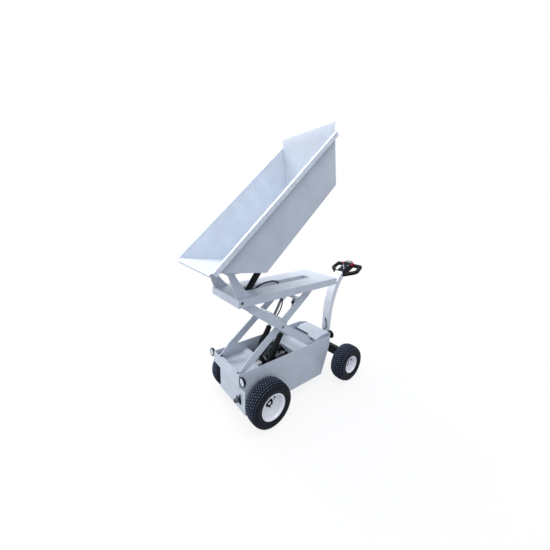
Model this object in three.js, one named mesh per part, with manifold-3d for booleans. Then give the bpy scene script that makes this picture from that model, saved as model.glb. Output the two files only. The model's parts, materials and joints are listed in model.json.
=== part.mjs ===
// Electric dump cart: a tub on two driven front wheels and two steered rear wheels,
// a scissor lift standing in the tub, and a tipping hopper hinged at the lift's front.
// Millimetres. +X is the cart's left, -Y its front, +Z up, the ground is Z = 0.
// The cart is laid out from the front axle (Y = 0) and moved to its middle at the end.
import * as THREE from 'three';
import { mergeVertices } from 'three/addons/utils/BufferGeometryUtils.js';
import Module from 'manifold-3d';

const wasm = await Module();
wasm.setup();

// ---------------------------------------------------------------- driving dimensions
// Fits
const FACE_GAP = 0.3;        // between pieces that touch
const PIN_GAP = 0.5;         // round a pin in its bore
const RUN_GAP = 6;           // between pieces that move past each other

// Sheet metal
const SHEET = 4;             // tub and hopper walls
const SLOPED_SHEET = 5;      // a sloping wall's thickness along the hopper
const ARM_PLATE = 10;        // lift arms and hinge uprights

// Tub
const TUB_WIDTH = 456;
const TUB_TOP = 507;
const TUB_BOTTOM = 96;
const TUB_FRONT = -235;      // upper front band
const FRONT_BAND = 108;      // height of that band
const LOWER_FRONT = -178;    // lower front panel
const LOWER_FRONT_TOP = 329;
const TUB_REAR = 889;        // rear edge of the side panels
const REAR_RAKE_TOP = 400;   // below this the rear panel rakes forward
const REAR_FOOT = 782;       // rear edge of the floor
const NOSE_DEPTH = 60;       // the rear compartment stands out this far
const NOSE_CHAMFER = 45;     // width cut off each of its corners
const NOSE_MITRE = 2.4;      // its walls' shift at those corners
const FRONT_DECK_TOP = 405;
const FRONT_DECK_REAR = 124;
const DECK_STEP = { from: 62, rise: 22 };   // raised across its rear
const DECK_CUTOUT = { from: 4, to: 126 };   // over the tank's near side
const REAR_DECK_FRONT = 454;
const REAR_DECK_DROP = 60;   // its front edge folds down
const POWER_UNIT_WIDTH = 104;
const POWER_STAND = { from: 134, to: 430, top: 310 };
const TANK = { from: 60, to: 128, bottom: 312, top: 400 };
const MOTOR = { radius: 44, to: 300, z: 362 };
const VALVES_TOP = 396;
const FITTING = { radius: 9, height: 28, x: 24, first: 30, second: 86 };
const BATTERY = { halfWidth: 200, from: 490, to: 740, top: 340 };
const COVER_WIDTH = 324;
const COVER_FRONT = 752;
const COVER_STEP = 42;       // height of the cover's front edge
const COVER_SLOPE = 78;      // length of its sloping front
const CONNECTOR = { x: 62, width: 50, gap: 8, depth: 44, height: 34 };

// Lamps, switch and horn
const HEADLIGHT = { x: 275, y: -228, z: 472, radius: 40, depth: 20 };
const ISOLATOR = { x: 118, z: 186, radius: 22, depth: 40, lever: { x: 148, top: 262 } };
const HORN = { x: 172, z: 480, radius: 44, depth: 32 };

// Wheels
const FRONT_TYRE = { radius: 205, width: 165, bead: 108, flange: 122, dish: -18 };
const REAR_TYRE = { radius: 195, width: 150, bead: 82, flange: 95, dish: -18 };
const HUB = { radius: 28, cap: 22, boreEnd: 14, boreStart: -30 };   // from the disc's back
const BEAD_INSET = 12;
const FRONT_TRACK = 642;
const REAR_TRACK = 678;
const WHEELBASE = 1055;
const AXLE_RADIUS = 14;
const STUB_END = HUB.boreEnd - 2;

// Driven axle
const AXLE_CASE = { radius: 34, gearHalf: 70, gearFront: -85, gearHeight: 62 };
const AXLE_MOTOR = { radius: 48, from: -80, to: -150 };

// Rear axle and steering
const BEAM_DEPTH = 50;
const BEAM_BOTTOM = 218;
const BEAM_TOP = 312;
const KINGPIN_SPREAD = 470;
const KINGPIN_RADIUS = 11;
const KINGPIN_BOSS = 20;
const CRANK = 100;           // length of the three steering cranks
const TILLER_OFFSET = 58;    // tiller pivot behind the axle
const TILLER_WIDTH = 92;
const TIE_ROD_HEIGHT = 180;

const TILLER_BOSS = 46;      // height of the boss at the tiller's foot
const HANDLE = { tilt: 28, sink: 33, thickness: 34, length: 214, halfWidth: 182, neck: 58 };
const HANDLE_BODY = { halfWidth: 50, from: 8, to: 172, top: -14, bottom: -61 };
const GRIP_HOLE = { inner: 64, outer: 146, front: 44, rear: 178 };
const CONTROL_BARREL = { along: 184, rise: -26, radius: 24, half: 55 };
const GUARD = { half: 58, top: -2, from: 210, bar: 10 };
const STOP_BUTTON = 8;       // thickness of the red buttons at the barrel's ends

// Lift
const LIFT_ANGLE = 36.8;     // degrees, raised
const LOWERED_ANGLE = 9.2;
const ARM_LENGTH = 1084;     // between the end pivots
const ARM_DEPTH = 75;
const ARM_TIP = 18;
const ARM_TAPER = 140;
const LIFT_FOOT_Y = -194;
const LIFT_FOOT_Z = 461;
const INNER_ARM_X = 170;
const OUTER_ARM_X = 201;
const LIFT_PIN = 12;
const TUBE_RADIUS = 17;
const STAY = { along: 590, above: 20 };
const OUTER_TUBE_ALONG = 330; // from the outer arms' middle
const ROLLER_WIDTH = 14;

// Lift cylinders
const LIFT_CYLINDER_X = 93;
const LIFT_CYLINDER_FOOT = { y: 98, z: 290 };
const LIFT_CYLINDER_EYE = { along: 820, below: 30 };
const LIFT_BARREL = { radius: 27, length: 430, eye: { radius: 25, width: 36 } };
const LIFT_ROD_RADIUS = 14;
const LIFT_ROD_EYE = { radius: 17, width: 30 };
const SHAFT_RADIUS = 13;

// Platform
const PLATFORM_WIDTH = 462;
const PLATFORM_FRONT = -227;
const PLATFORM_REAR = 940;
const PLATFORM_SKIRT = 67;
const PLATFORM_SHEET = 5;
const PLATFORM_RISE = 30;    // platform's top above its pivots
const SLOT_WIDTH = 104;
const SLOT_FRONT = -60;
const SLOT_REAR = 735;
const CHANNEL_DEPTH = 45;

// Hopper, in its level position
const HINGE_Y = -270;
const HINGE_RISE = 210;      // hinge above the platform's top
const TILT_ANGLE = 42.5;
const UPRIGHT_X = 198;
const HOPPER_RIM_WIDTH = 704;
const HOPPER_BOTTOM_WIDTH = 650;
const RIM_FLANGE = 22;
const RIM_LIP = 35;
const RIM_FRONT = -117;      // along the hopper, from its hinge
const RIM_REAR = 1422;
const RIM_HEIGHT = 184;      // above the hinge
const BOTTOM_FRONT = 173;
const BOTTOM_REAR = 1187;
const BOTTOM_DROP = 161;     // below the hinge
const BOARD_REAR = 54;       // rear board beyond the rim
const BOARD_RISE = 60;

// Dump cylinder
const DUMP_FOOT = { y: -20, drop: 50 };  // below the platform's top
const DUMP_EYE = { y: 830, z: -200 };   // in the level hopper, from its hinge
const DUMP_BARREL = { radius: 29, length: 420, eye: { radius: 27, width: 44 } };
const DUMP_ROD_RADIUS = 16;
const DUMP_ROD_EYE = { radius: 19, width: 34 };

// Under the hopper
const BEARER_X = 150;
const BEARER_DEPTH = 36;

// ---------------------------------------------------------------- colours
const COLOURS = {
  paint: { color: '#c3c9d2', roughness: 0.45, metalness: 0.1 },
  white: { color: '#e9ecef', roughness: 0.4, metalness: 0.05 },
  black: { color: '#1d2024', roughness: 0.6, metalness: 0.1 },
  rubber: { color: '#22262c', roughness: 0.9, metalness: 0 },
  chrome: { color: '#c9ccd0', roughness: 0.15, metalness: 0.95 },
  steel: { color: '#8f969e', roughness: 0.4, metalness: 0.7 },
  tank: { color: '#eef0ee', roughness: 0.5, metalness: 0 },
  red: { color: '#d0202c', roughness: 0.4, metalness: 0 },
};

// ---------------------------------------------------------------- shape helpers
function toManifold(geometry) {
  const bare = geometry.clone();
  bare.deleteAttribute('normal');
  bare.deleteAttribute('uv');
  const merged = mergeVertices(bare, 1e-4);
  const index = merged.index ?? null;
  return new wasm.Manifold(new wasm.Mesh({
    numProp: 3,
    vertProperties: new Float32Array(merged.attributes.position.array),
    triVerts: new Uint32Array(index.array),
  }));
}

function toGeometry(manifold) {
  const mesh = manifold.getMesh();
  const geometry = new THREE.BufferGeometry();
  geometry.setAttribute('position', new THREE.BufferAttribute(mesh.vertProperties, 3));
  geometry.setIndex(new THREE.BufferAttribute(mesh.triVerts, 1));
  return geometry;
}

function join(...geometries) {
  const [first, ...rest] = geometries.map(toManifold);
  return toGeometry(rest.reduce((sum, next) => sum.add(next), first));
}

function cut(geometry, ...tools) {
  return toGeometry(tools.map(toManifold).reduce((sum, next) => sum.subtract(next), toManifold(geometry)));
}

function box(x0, x1, y0, y1, z0, z1) {
  const geometry = new THREE.BoxGeometry(x1 - x0, y1 - y0, z1 - z0);
  return geometry.translate((x0 + x1) / 2, (y0 + y1) / 2, (z0 + z1) / 2);
}

// A cylinder from one point to another.
function rod(radius, from, to, sides = 24) {
  const start = new THREE.Vector3(...from);
  const end = new THREE.Vector3(...to);
  const axis = end.clone().sub(start);
  const geometry = new THREE.CylinderGeometry(radius, radius, axis.length(), sides);
  const turn = new THREE.Quaternion().setFromUnitVectors(new THREE.Vector3(0, 1, 0), axis.clone().normalize());
  geometry.applyQuaternion(turn);
  const middle = start.add(end).multiplyScalar(0.5);
  return geometry.translate(middle.x, middle.y, middle.z);
}

const rodX = (radius, x0, x1, y, z, sides) => rod(radius, [x0, y, z], [x1, y, z], sides);

function shapeOf(outline) {
  if (outline instanceof THREE.Shape) {
    return outline;
  }
  return new THREE.Shape(outline.map(([u, v]) => new THREE.Vector2(u, v)));
}

function extrude(outline, depth, curveSegments = 6) {
  return new THREE.ExtrudeGeometry(shapeOf(outline), { depth, bevelEnabled: false, curveSegments });
}

// A plate whose outline is drawn in (Y, Z), from x0 to x1.
function sidePlate(outline, x0, x1, curveSegments) {
  const turn = new THREE.Matrix4().makeBasis(
    new THREE.Vector3(0, 1, 0), new THREE.Vector3(0, 0, 1), new THREE.Vector3(1, 0, 0));
  return extrude(outline, x1 - x0, curveSegments).applyMatrix4(turn).translate(x0, 0, 0);
}

// A plate whose outline is drawn in (X, Y), from z0 to z1.
function flatPlate(outline, z0, z1, curveSegments) {
  return extrude(outline, z1 - z0, curveSegments).translate(0, 0, z0);
}

// A turned piece round the X axis, drawn as (x, radius); side is +1 or -1.
function turned(profile, side, segments) {
  const points = profile.map(([x, radius]) => new THREE.Vector2(radius, x));
  const geometry = new THREE.LatheGeometry(points, segments);
  return geometry.rotateZ(-side * Math.PI / 2);
}

const radians = THREE.MathUtils.degToRad;

// ---------------------------------------------------------------- scene graph helpers
const cart = new THREE.Group();
cart.name = 'chassis';

function place(parent, name, geometry, finish) {
  const mesh = new THREE.Mesh(geometry, new THREE.MeshStandardMaterial(COLOURS[finish]));
  mesh.name = name;
  parent.add(mesh);
  return mesh;
}

// A moving body: a group whose origin is the body's pivot.
function pivot(parent, name, x, y, z, tilt = 0) {
  const group = new THREE.Group();
  group.name = name;
  group.position.set(x, y, z);
  group.rotation.x = tilt;
  parent.add(group);
  return group;
}

const SIDES = [
  { name: 'left', sign: 1 },
  { name: 'right', sign: -1 },
];

// ---------------------------------------------------------------- tub
const halfTub = TUB_WIDTH / 2;
const innerTub = halfTub - SHEET - FACE_GAP;
const bandBottom = TUB_TOP - FRONT_BAND;

function tubSideOutline(inset) {
  return [
    [TUB_FRONT + inset, TUB_TOP],
    [TUB_FRONT + inset, bandBottom],
    [LOWER_FRONT + inset, LOWER_FRONT_TOP],
    [LOWER_FRONT + inset, TUB_BOTTOM],
    [REAR_FOOT - inset, TUB_BOTTOM],
    [TUB_REAR - inset, REAR_RAKE_TOP],
    [TUB_REAR - inset, TUB_TOP],
  ];
}

const rakeSlope = (TUB_REAR - REAR_FOOT) / (REAR_RAKE_TOP - TUB_BOTTOM);

function buildTub() {
  for (const { name, sign } of SIDES) {
    const x0 = sign > 0 ? halfTub - SHEET : -halfTub;
    place(cart, `tub_side_${name}`, sidePlate(tubSideOutline(0), x0, x0 + SHEET), 'paint');
  }
  // Front and floor are one folded sheet.
  const floorRear = REAR_FOOT - SHEET - FACE_GAP;
  const pan = sidePlate([
    [TUB_FRONT, TUB_TOP],
    [TUB_FRONT, bandBottom],
    [LOWER_FRONT, LOWER_FRONT_TOP],
    [LOWER_FRONT, TUB_BOTTOM],
    [floorRear, TUB_BOTTOM],
    [floorRear, TUB_BOTTOM + SHEET],
    [LOWER_FRONT + SHEET, TUB_BOTTOM + SHEET],
    [LOWER_FRONT + SHEET, LOWER_FRONT_TOP + 2],
    [TUB_FRONT + SHEET, bandBottom + 2],
    [TUB_FRONT + SHEET, TUB_TOP],
  ], -innerTub, innerTub);
  place(cart, 'tub_pan', pan, 'paint');

  // The rear panel rakes forward below the nose, an open box with chamfered corners.
  const noseRear = TUB_REAR + NOSE_DEPTH;
  const rake = sidePlate([
    [REAR_FOOT, TUB_BOTTOM],
    [TUB_REAR, REAR_RAKE_TOP],
    [TUB_REAR + SHEET, REAR_RAKE_TOP],
    [TUB_REAR + SHEET, REAR_RAKE_TOP + SHEET],
    [TUB_REAR - SHEET, REAR_RAKE_TOP + SHEET],
    [REAR_FOOT - SHEET, TUB_BOTTOM],
  ], -innerTub, innerTub);
  const noseFront = TUB_REAR + FACE_GAP;
  const cornerX = halfTub - NOSE_CHAMFER;
  const hollowX = halfTub - SHEET;
  const hollowCornerX = cornerX - NOSE_MITRE;
  const outside = [
    [-halfTub, noseFront],
    [halfTub, noseFront],
    [cornerX, noseRear],
    [-cornerX, noseRear],
  ];
  const inside = [
    [-hollowX, noseFront - 10],
    [hollowX, noseFront - 10],
    [hollowX, noseFront],
    [hollowCornerX, noseRear - SHEET],
    [-hollowCornerX, noseRear - SHEET],
    [-hollowX, noseFront],
  ];
  const nose = cut(
    flatPlate(outside, REAR_RAKE_TOP, TUB_TOP),
    flatPlate(inside, REAR_RAKE_TOP + SHEET, TUB_TOP + 10));
  place(cart, 'tub_rear', join(rake, nose), 'paint');
}

// ---------------------------------------------------------------- what stands in the tub
const rollerRadius = PLATFORM_RISE - PLATFORM_SHEET - FACE_GAP;
const rearDeckTop = LIFT_FOOT_Z - rollerRadius - FACE_GAP;

function buildDecks() {
  // The front deck steps up behind, in front of the lift cylinders.
  const { from, rise } = DECK_STEP;
  const stepTop = FRONT_DECK_TOP + rise;
  const slant = SHEET * Math.tan(Math.PI / 8);
  const deckFront = TUB_FRONT + SHEET + FACE_GAP;
  const folded = sidePlate([
    [deckFront, FRONT_DECK_TOP],
    [deckFront, FRONT_DECK_TOP - SHEET],
    [from + slant, FRONT_DECK_TOP - SHEET],
    [from + rise + slant, stepTop - SHEET],
    [FRONT_DECK_REAR - SHEET, stepTop - SHEET],
    [FRONT_DECK_REAR - SHEET, FRONT_DECK_TOP],
    [FRONT_DECK_REAR, FRONT_DECK_TOP],
    [FRONT_DECK_REAR, stepTop],
    [from + rise, stepTop],
    [from, FRONT_DECK_TOP],
  ], -innerTub, innerTub);
  const room = box(DECK_CUTOUT.from, DECK_CUTOUT.to, from - RUN_GAP, FRONT_DECK_REAR + 5,
    FRONT_DECK_TOP - 2 * SHEET, stepTop + 5);
  place(cart, 'front_deck', cut(folded, room), 'paint');

  // The rollers of the lift's outer arms run on this deck.
  const deck = sidePlate([
    [REAR_DECK_FRONT, rearDeckTop],
    [REAR_DECK_FRONT, rearDeckTop - REAR_DECK_DROP],
    [REAR_DECK_FRONT + SHEET, rearDeckTop - REAR_DECK_DROP],
    [REAR_DECK_FRONT + SHEET, rearDeckTop - SHEET],
    [TUB_REAR, rearDeckTop - SHEET],
    [TUB_REAR, rearDeckTop],
  ], -innerTub, innerTub);
  place(cart, 'rear_deck', deck, 'paint');

  const coverBottom = rearDeckTop + FACE_GAP;
  const noseInside = TUB_REAR + NOSE_DEPTH - SHEET - FACE_GAP;
  const cover = sidePlate([
    [COVER_FRONT, coverBottom],
    [COVER_FRONT, coverBottom + COVER_STEP],
    [COVER_FRONT + COVER_SLOPE, TUB_TOP],
    [noseInside, TUB_TOP],
    [noseInside, coverBottom],
  ], -COVER_WIDTH / 2, COVER_WIDTH / 2);
  place(cart, 'rear_cover', cover, 'paint');

  const { x, width, gap, depth, height } = CONNECTOR;
  const rear = COVER_FRONT - gap;
  const block = box(x, x + width, rear - depth, rear, coverBottom, coverBottom + height);
  place(cart, 'connector_block', block, 'black');
}

// The power unit stands on the tub's floor between the lift cylinders.
function buildPowerUnit() {
  const half = POWER_UNIT_WIDTH / 2;
  const floorTop = TUB_BOTTOM + SHEET + FACE_GAP;
  const { from, to, top } = POWER_STAND;
  place(cart, 'controller_box', box(-half, half, from, to, floorTop, top), 'black');

  const tank = join(
    box(-half, half, TANK.from, TANK.to, TANK.bottom, TANK.top - 20),
    box(-half + 14, half - 14, TANK.from + 8, TANK.to, TANK.bottom, TANK.top));
  place(cart, 'hydraulic_tank', tank, 'tank');

  const motorFrom = TANK.to + FACE_GAP;
  const foot = box(-36, 36, from + 10, MOTOR.to - 20, top + FACE_GAP, MOTOR.z - 20);
  const motor = join(rod(MOTOR.radius, [0, motorFrom, MOTOR.z], [0, MOTOR.to, MOTOR.z], 28), foot);
  place(cart, 'pump_motor', motor, 'black');

  const valveFrom = MOTOR.to + FACE_GAP;
  const fittingTop = VALVES_TOP + FITTING.height;
  const fitting = (x, y) => rod(FITTING.radius, [x, y, VALVES_TOP - 1], [x, y, fittingTop], 12);
  const valves = join(
    box(-half + 6, half - 6, valveFrom, to - 10, top + FACE_GAP, VALVES_TOP),
    fitting(FITTING.x, valveFrom + FITTING.first), fitting(-FITTING.x, valveFrom + FITTING.first),
    fitting(FITTING.x, valveFrom + FITTING.second), fitting(-FITTING.x, valveFrom + FITTING.second));
  place(cart, 'valve_block', valves, 'steel');

  const battery = box(-BATTERY.halfWidth, BATTERY.halfWidth, BATTERY.from, BATTERY.to, floorTop, BATTERY.top);
  place(cart, 'battery_block', battery, 'black');
}

function buildAxle() {
  // One casing for the driven axle, with its motor in front.
  const z = FRONT_TYRE.radius;
  const reach = FRONT_TRACK / 2 + FRONT_TYRE.dish + STUB_END;
  const caseReach = halfTub + RUN_GAP;
  const { radius, gearHalf, gearFront, gearHeight } = AXLE_CASE;
  const casing = join(
    rodX(radius, -caseReach, caseReach, 0, z, 24),
    box(-gearHalf, gearHalf, gearFront, gearHalf, z - gearHeight, z + gearHeight),
    rodX(AXLE_RADIUS, -reach, reach, 0, z, 20),
    rod(AXLE_MOTOR.radius, [0, AXLE_MOTOR.from, z], [0, AXLE_MOTOR.to, z], 24));
  place(cart, 'transaxle', casing, 'black');
  const axleRoom = rodX(radius + FACE_GAP, -caseReach - 5, caseReach + 5, 0, z, 24);
  for (const mesh of cart.children) {
    if (mesh.name.startsWith('tub_side')) {
      mesh.geometry = cut(mesh.geometry, axleRoom);
    }
  }

  const armShaft = rodX(LIFT_PIN, -innerTub, innerTub, LIFT_FOOT_Y, LIFT_FOOT_Z, 20);
  place(cart, 'arm_foot_shaft', armShaft, 'steel');
  const cylinderShaft = rodX(SHAFT_RADIUS, -innerTub, innerTub, LIFT_CYLINDER_FOOT.y, LIFT_CYLINDER_FOOT.z, 20);
  place(cart, 'cylinder_foot_shaft', cylinderShaft, 'steel');
}

// ---------------------------------------------------------------- lamps, switch, horn
function buildFittings() {
  const side = halfTub + FACE_GAP;
  for (const { name, sign } of SIDES) {
    const { x, y, z, radius, depth } = HEADLIGHT;
    const bracketX = [sign * side, sign * (x + 10)].sort((a, b) => a - b);
    const lamp = join(
      rod(radius, [sign * x, y - depth / 2, z], [sign * x, y + depth / 2, z], 28),
      rod(radius - 12, [sign * x, y + depth / 2 - 1, z], [sign * x, y + depth / 2 + 10, z], 20),
      box(...bracketX, y + 8, y + 12, z - radius - 8, z - 10));
    place(cart, `headlight_${name}`, lamp, 'black');
  }
  const panel = LOWER_FRONT - FACE_GAP;
  const { x, z, radius, depth, lever } = ISOLATOR;
  const isolator = join(
    box(x - radius - 4, lever.x + 16, panel - 8, panel, z - radius - 2, z + radius + 2),
    rod(radius, [x, panel - depth, z], [x, panel - 7, z], 20),
    box(lever.x, lever.x + 16, panel - 12, panel, z, lever.top));
  place(cart, 'isolator_switch', isolator, 'black');

  const hornFace = TUB_REAR + NOSE_DEPTH + FACE_GAP;
  const horn = join(
    rod(HORN.radius, [HORN.x, hornFace + 10, HORN.z], [HORN.x, hornFace + 10 + HORN.depth, HORN.z], 24),
    box(HORN.x - 12, HORN.x - 4, hornFace, hornFace + 12, HORN.z - 60, HORN.z - 10));
  place(cart, 'horn', horn, 'black');
}

// ---------------------------------------------------------------- wheels
const ROUND = 32;

function tyreProfile({ radius, width, bead, flange }) {
  const half = width / 2;
  const beadFace = half - BEAD_INSET;
  const wall = radius - flange;
  const side = [
    [0, radius],
    [half - 30, radius - 4],
    [half - 8, radius - wall * 0.2],
    [half, radius - wall * 0.55],
    [beadFace, flange + 1],
    [beadFace, bead + FACE_GAP],
  ];
  const mirrored = side.slice(1).reverse().map(([x, r]) => [-x, r]);
  return [...side, ...mirrored, side[0]];
}

// The rim's disc is dished: it stands inboard of the wheel's middle, round the stub axle.
function rimProfile({ width, bead, flange, dish }, bore) {
  const face = width / 2 - BEAD_INSET + FACE_GAP;
  const edge = face + 5;
  const well = bead - 5;
  const flat = HUB.radius + 30;
  return [
    [dish + HUB.cap, 0],
    [dish + HUB.cap, HUB.radius],
    [dish + 6, HUB.radius],
    [dish + 6, flat],
    [dish + 38, well],
    [edge, well],
    [edge, flange],
    [face, flange],
    [face, bead],
    [-face, bead],
    [-face, flange],
    [-edge, flange],
    [-edge, well],
    [dish + 30, well],
    [dish, flat],
    [dish, bore + 14],
    [dish + HUB.boreStart, bore + 14],
    [dish + HUB.boreStart, bore],
    [dish + HUB.boreEnd, bore],
    [dish + HUB.boreEnd, 0],
  ].reverse();
}

function buildWheel(parent, name, tyre, sign) {
  place(parent, name.replace('wheel', 'tyre'), turned(tyreProfile(tyre), sign, ROUND), 'rubber');
  const rim = turned(rimProfile(tyre, AXLE_RADIUS + PIN_GAP), sign, ROUND);
  place(parent, name.replace('wheel', 'rim'), rim, 'white');
}

function buildFrontWheels() {
  for (const { name, sign } of SIDES) {
    const wheel = pivot(cart, `front_wheel_${name}`, sign * FRONT_TRACK / 2, 0, FRONT_TYRE.radius);
    buildWheel(wheel, `front_wheel_${name}`, FRONT_TYRE, sign);
  }
}

// ---------------------------------------------------------------- rear axle and steering
const kingpinX = KINGPIN_SPREAD / 2;
const tillerY = WHEELBASE + TILLER_OFFSET;
const crankTop = TIE_ROD_HEIGHT + 22;

function buildRearAxle() {
  const boss = (x, y) => rod(KINGPIN_BOSS, [x, y, BEAM_BOTTOM], [x, y, BEAM_TOP], 24);
  const bore = (x, y) => rod(KINGPIN_RADIUS + PIN_GAP, [x, y, BEAM_BOTTOM - 5], [x, y, BEAM_TOP + 5], 24);
  const y0 = WHEELBASE - BEAM_DEPTH / 2;
  const y1 = WHEELBASE + BEAM_DEPTH / 2;
  const carrierFront = REAR_FOOT + rakeSlope * (BEAM_BOTTOM + 12 - TUB_BOTTOM) + FACE_GAP;
  const carrierTop = REAR_FOOT + rakeSlope * (BEAM_TOP - 8 - TUB_BOTTOM) + FACE_GAP;
  const carrier = sidePlate([
    [carrierFront, BEAM_BOTTOM + 12],
    [y0 + 1, BEAM_BOTTOM + 12],
    [y0 + 1, BEAM_TOP - 8],
    [carrierTop, BEAM_TOP - 8],
  ], -60, 60);
  const beam = join(
    box(-kingpinX, kingpinX, y0, y1, BEAM_BOTTOM, BEAM_TOP),
    boss(kingpinX, WHEELBASE),
    boss(-kingpinX, WHEELBASE),
    carrier,
    box(-24, 24, y1 - 1, tillerY, BEAM_BOTTOM, BEAM_TOP),
    rod(KINGPIN_BOSS + 4, [0, tillerY, BEAM_BOTTOM], [0, tillerY, BEAM_TOP], 24));
  const bores = [bore(kingpinX, WHEELBASE), bore(-kingpinX, WHEELBASE), bore(0, tillerY)];
  place(cart, 'rear_axle_beam', cut(beam, ...bores), 'black');
}

function buildSteering() {
  for (const { name, sign } of SIDES) {
    const knuckle = pivot(cart, `knuckle_${name}`, sign * kingpinX, WHEELBASE, REAR_TYRE.radius);
    const z = REAR_TYRE.radius;
    const top = BEAM_BOTTOM - z - FACE_GAP;
    const stub = REAR_TRACK / 2 - kingpinX + REAR_TYRE.dish + STUB_END;
    const body = join(
      rod(KINGPIN_RADIUS, [0, 0, top - 1], [0, 0, BEAM_TOP - z + 2], 20),
      rod(KINGPIN_BOSS - 2, [0, 0, BEAM_TOP - z + FACE_GAP], [0, 0, BEAM_TOP - z + 9], 20),
      rod(KINGPIN_BOSS, [0, 0, -22], [0, 0, top], 24),
      rodX(AXLE_RADIUS, Math.min(0, sign * stub), Math.max(0, sign * stub), 0, 0, 20),
      box(-11, 11, 0, CRANK, TIE_ROD_HEIGHT + 14 - z, crankTop - z),
      rod(11, [0, CRANK, TIE_ROD_HEIGHT + 14 - z], [0, CRANK, crankTop - z], 16),
      rod(6, [0, CRANK, TIE_ROD_HEIGHT - 8 - z], [0, CRANK, crankTop - 2 - z], 12));
    place(knuckle, `knuckle_${name}`, body, 'black');
    const wheel = pivot(knuckle, `rear_wheel_${name}`, sign * (REAR_TRACK / 2 - kingpinX), 0, 0);
    buildWheel(wheel, `rear_wheel_${name}`, REAR_TYRE, sign);
    if (sign > 0) {
      const rodGroup = pivot(knuckle, 'tie_rod', 0, CRANK, TIE_ROD_HEIGHT - z);
      const eye = (x, y) => rod(13, [x, y, -7], [x, y, 7], 20);
      const hole = (x, y) => rod(6 + PIN_GAP, [x, y, -9], [x, y, 9], 16);
      const tie = cut(join(
        rodX(8, -KINGPIN_SPREAD + 8, -8, 0, 0, 16),
        eye(0, 0),
        eye(-KINGPIN_SPREAD, 0),
        box(-kingpinX - 10, -kingpinX + 10, 0, TILLER_OFFSET, -6, 6),
        eye(-kingpinX, TILLER_OFFSET)),
      hole(0, 0), hole(-KINGPIN_SPREAD, 0), hole(-kingpinX, TILLER_OFFSET));
      place(rodGroup, 'tie_rod', tie, 'steel');
    }
  }
}

// The arm's front face, as heights above the ground, distances behind the front axle, and
// the arm's depth there.
const TILLER_FACE = [
  { z: 352, y: 1090, depth: 28 },
  { z: 457, y: 1087, depth: 30 },
  { z: 564, y: 1083, depth: 41 },
  { z: 702, y: 1088, depth: 54 },
  { z: 769, y: 1100, depth: 58 },
  { z: 834, y: 1116, depth: 62 },
  { z: 900, y: 1137, depth: 65 },
  { z: 964, y: 1165, depth: 66 },
  { z: 1028, y: 1201, depth: 66 },
  { z: 1090, y: 1245, depth: 66 },
  { z: 1124, y: 1273, depth: 66 },
];

function buildTiller() {
  const tiller = pivot(cart, 'tiller', 0, tillerY, BEAM_TOP);
  const front = TILLER_FACE.map(({ y, z }) => [y - tillerY, z - BEAM_TOP]);
  const back = front.map(([y, z], i) => {
    const [ya, za] = front[Math.max(i - 1, 0)];
    const [yb, zb] = front[Math.min(i + 1, front.length - 1)];
    const step = TILLER_FACE[i].depth / Math.hypot(yb - ya, zb - za);
    return [y + step * (zb - za), z - step * (yb - ya)];
  }).reverse();
  const side = [...front, ...back];
  const halfWidth = TILLER_WIDTH / 2;
  const crankBottom = TIE_ROD_HEIGHT - BEAM_TOP + 14;
  const pinBottom = crankBottom - 22;
  const base = join(
    sidePlate(side, -halfWidth, halfWidth),
    rod(KINGPIN_BOSS + 10, [0, 0, FACE_GAP], [0, 0, TILLER_BOSS], 24),
    rod(KINGPIN_RADIUS, [0, 0, crankBottom], [0, 0, 2], 20),
    box(-12, 12, 0, CRANK, crankBottom, crankBottom + 12),
    rod(16, [0, 0, crankBottom], [0, 0, BEAM_BOTTOM - BEAM_TOP - FACE_GAP], 20),
    rod(12, [0, CRANK, crankBottom], [0, CRANK, crankBottom + 12], 16),
    rod(6, [0, CRANK, pinBottom], [0, CRANK, crankBottom + 10], 12));
  place(tiller, 'tiller_arm', base, 'white');

  // The head is laid out flat, then tilted about the arm's front top edge.
  const tip = TILLER_FACE[TILLER_FACE.length - 1];
  const onArm = (geometry) => geometry
    .rotateX(radians(HANDLE.tilt)).translate(0, tip.y - tillerY, tip.z - BEAM_TOP);
  // Its socket is the arm itself, made larger by the gap.
  const socket = sidePlate(side, -halfWidth - FACE_GAP, halfWidth + FACE_GAP);
  const shifts = [[FACE_GAP, FACE_GAP], [FACE_GAP, -FACE_GAP], [-FACE_GAP, FACE_GAP]];
  const room = shifts.map(([y, z]) => socket.clone().translate(0, y, z));
  const { halfWidth: bodyHalf, from, to, top, bottom } = HANDLE_BODY;
  const { along, rise, radius, half } = CONTROL_BARREL;
  const barrel = rodX(radius, -half, half, along, rise, 20);
  const body = box(-bodyHalf, bodyHalf, from, to, bottom, top);
  const head = [join(gripLoops(), body, barrel, buttonGuard())];
  for (const { name, sign } of SIDES) {
    const span = (from, to) => [sign * from, sign * to].sort((a, b) => a - b);
    const recess = span(half, GRIP_HOLE.inner + 1);
    head.push(rodX(radius + FACE_GAP, ...recess, along, rise, 20));
    const button = rodX(radius, ...span(half + FACE_GAP, half + STOP_BUTTON), along, rise, 20);
    place(tiller, `stop_button_${name}`, onArm(button), 'red');
  }
  place(tiller, 'tiller_handle', cut(onArm(cut(...head)), ...room), 'black');
}

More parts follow.
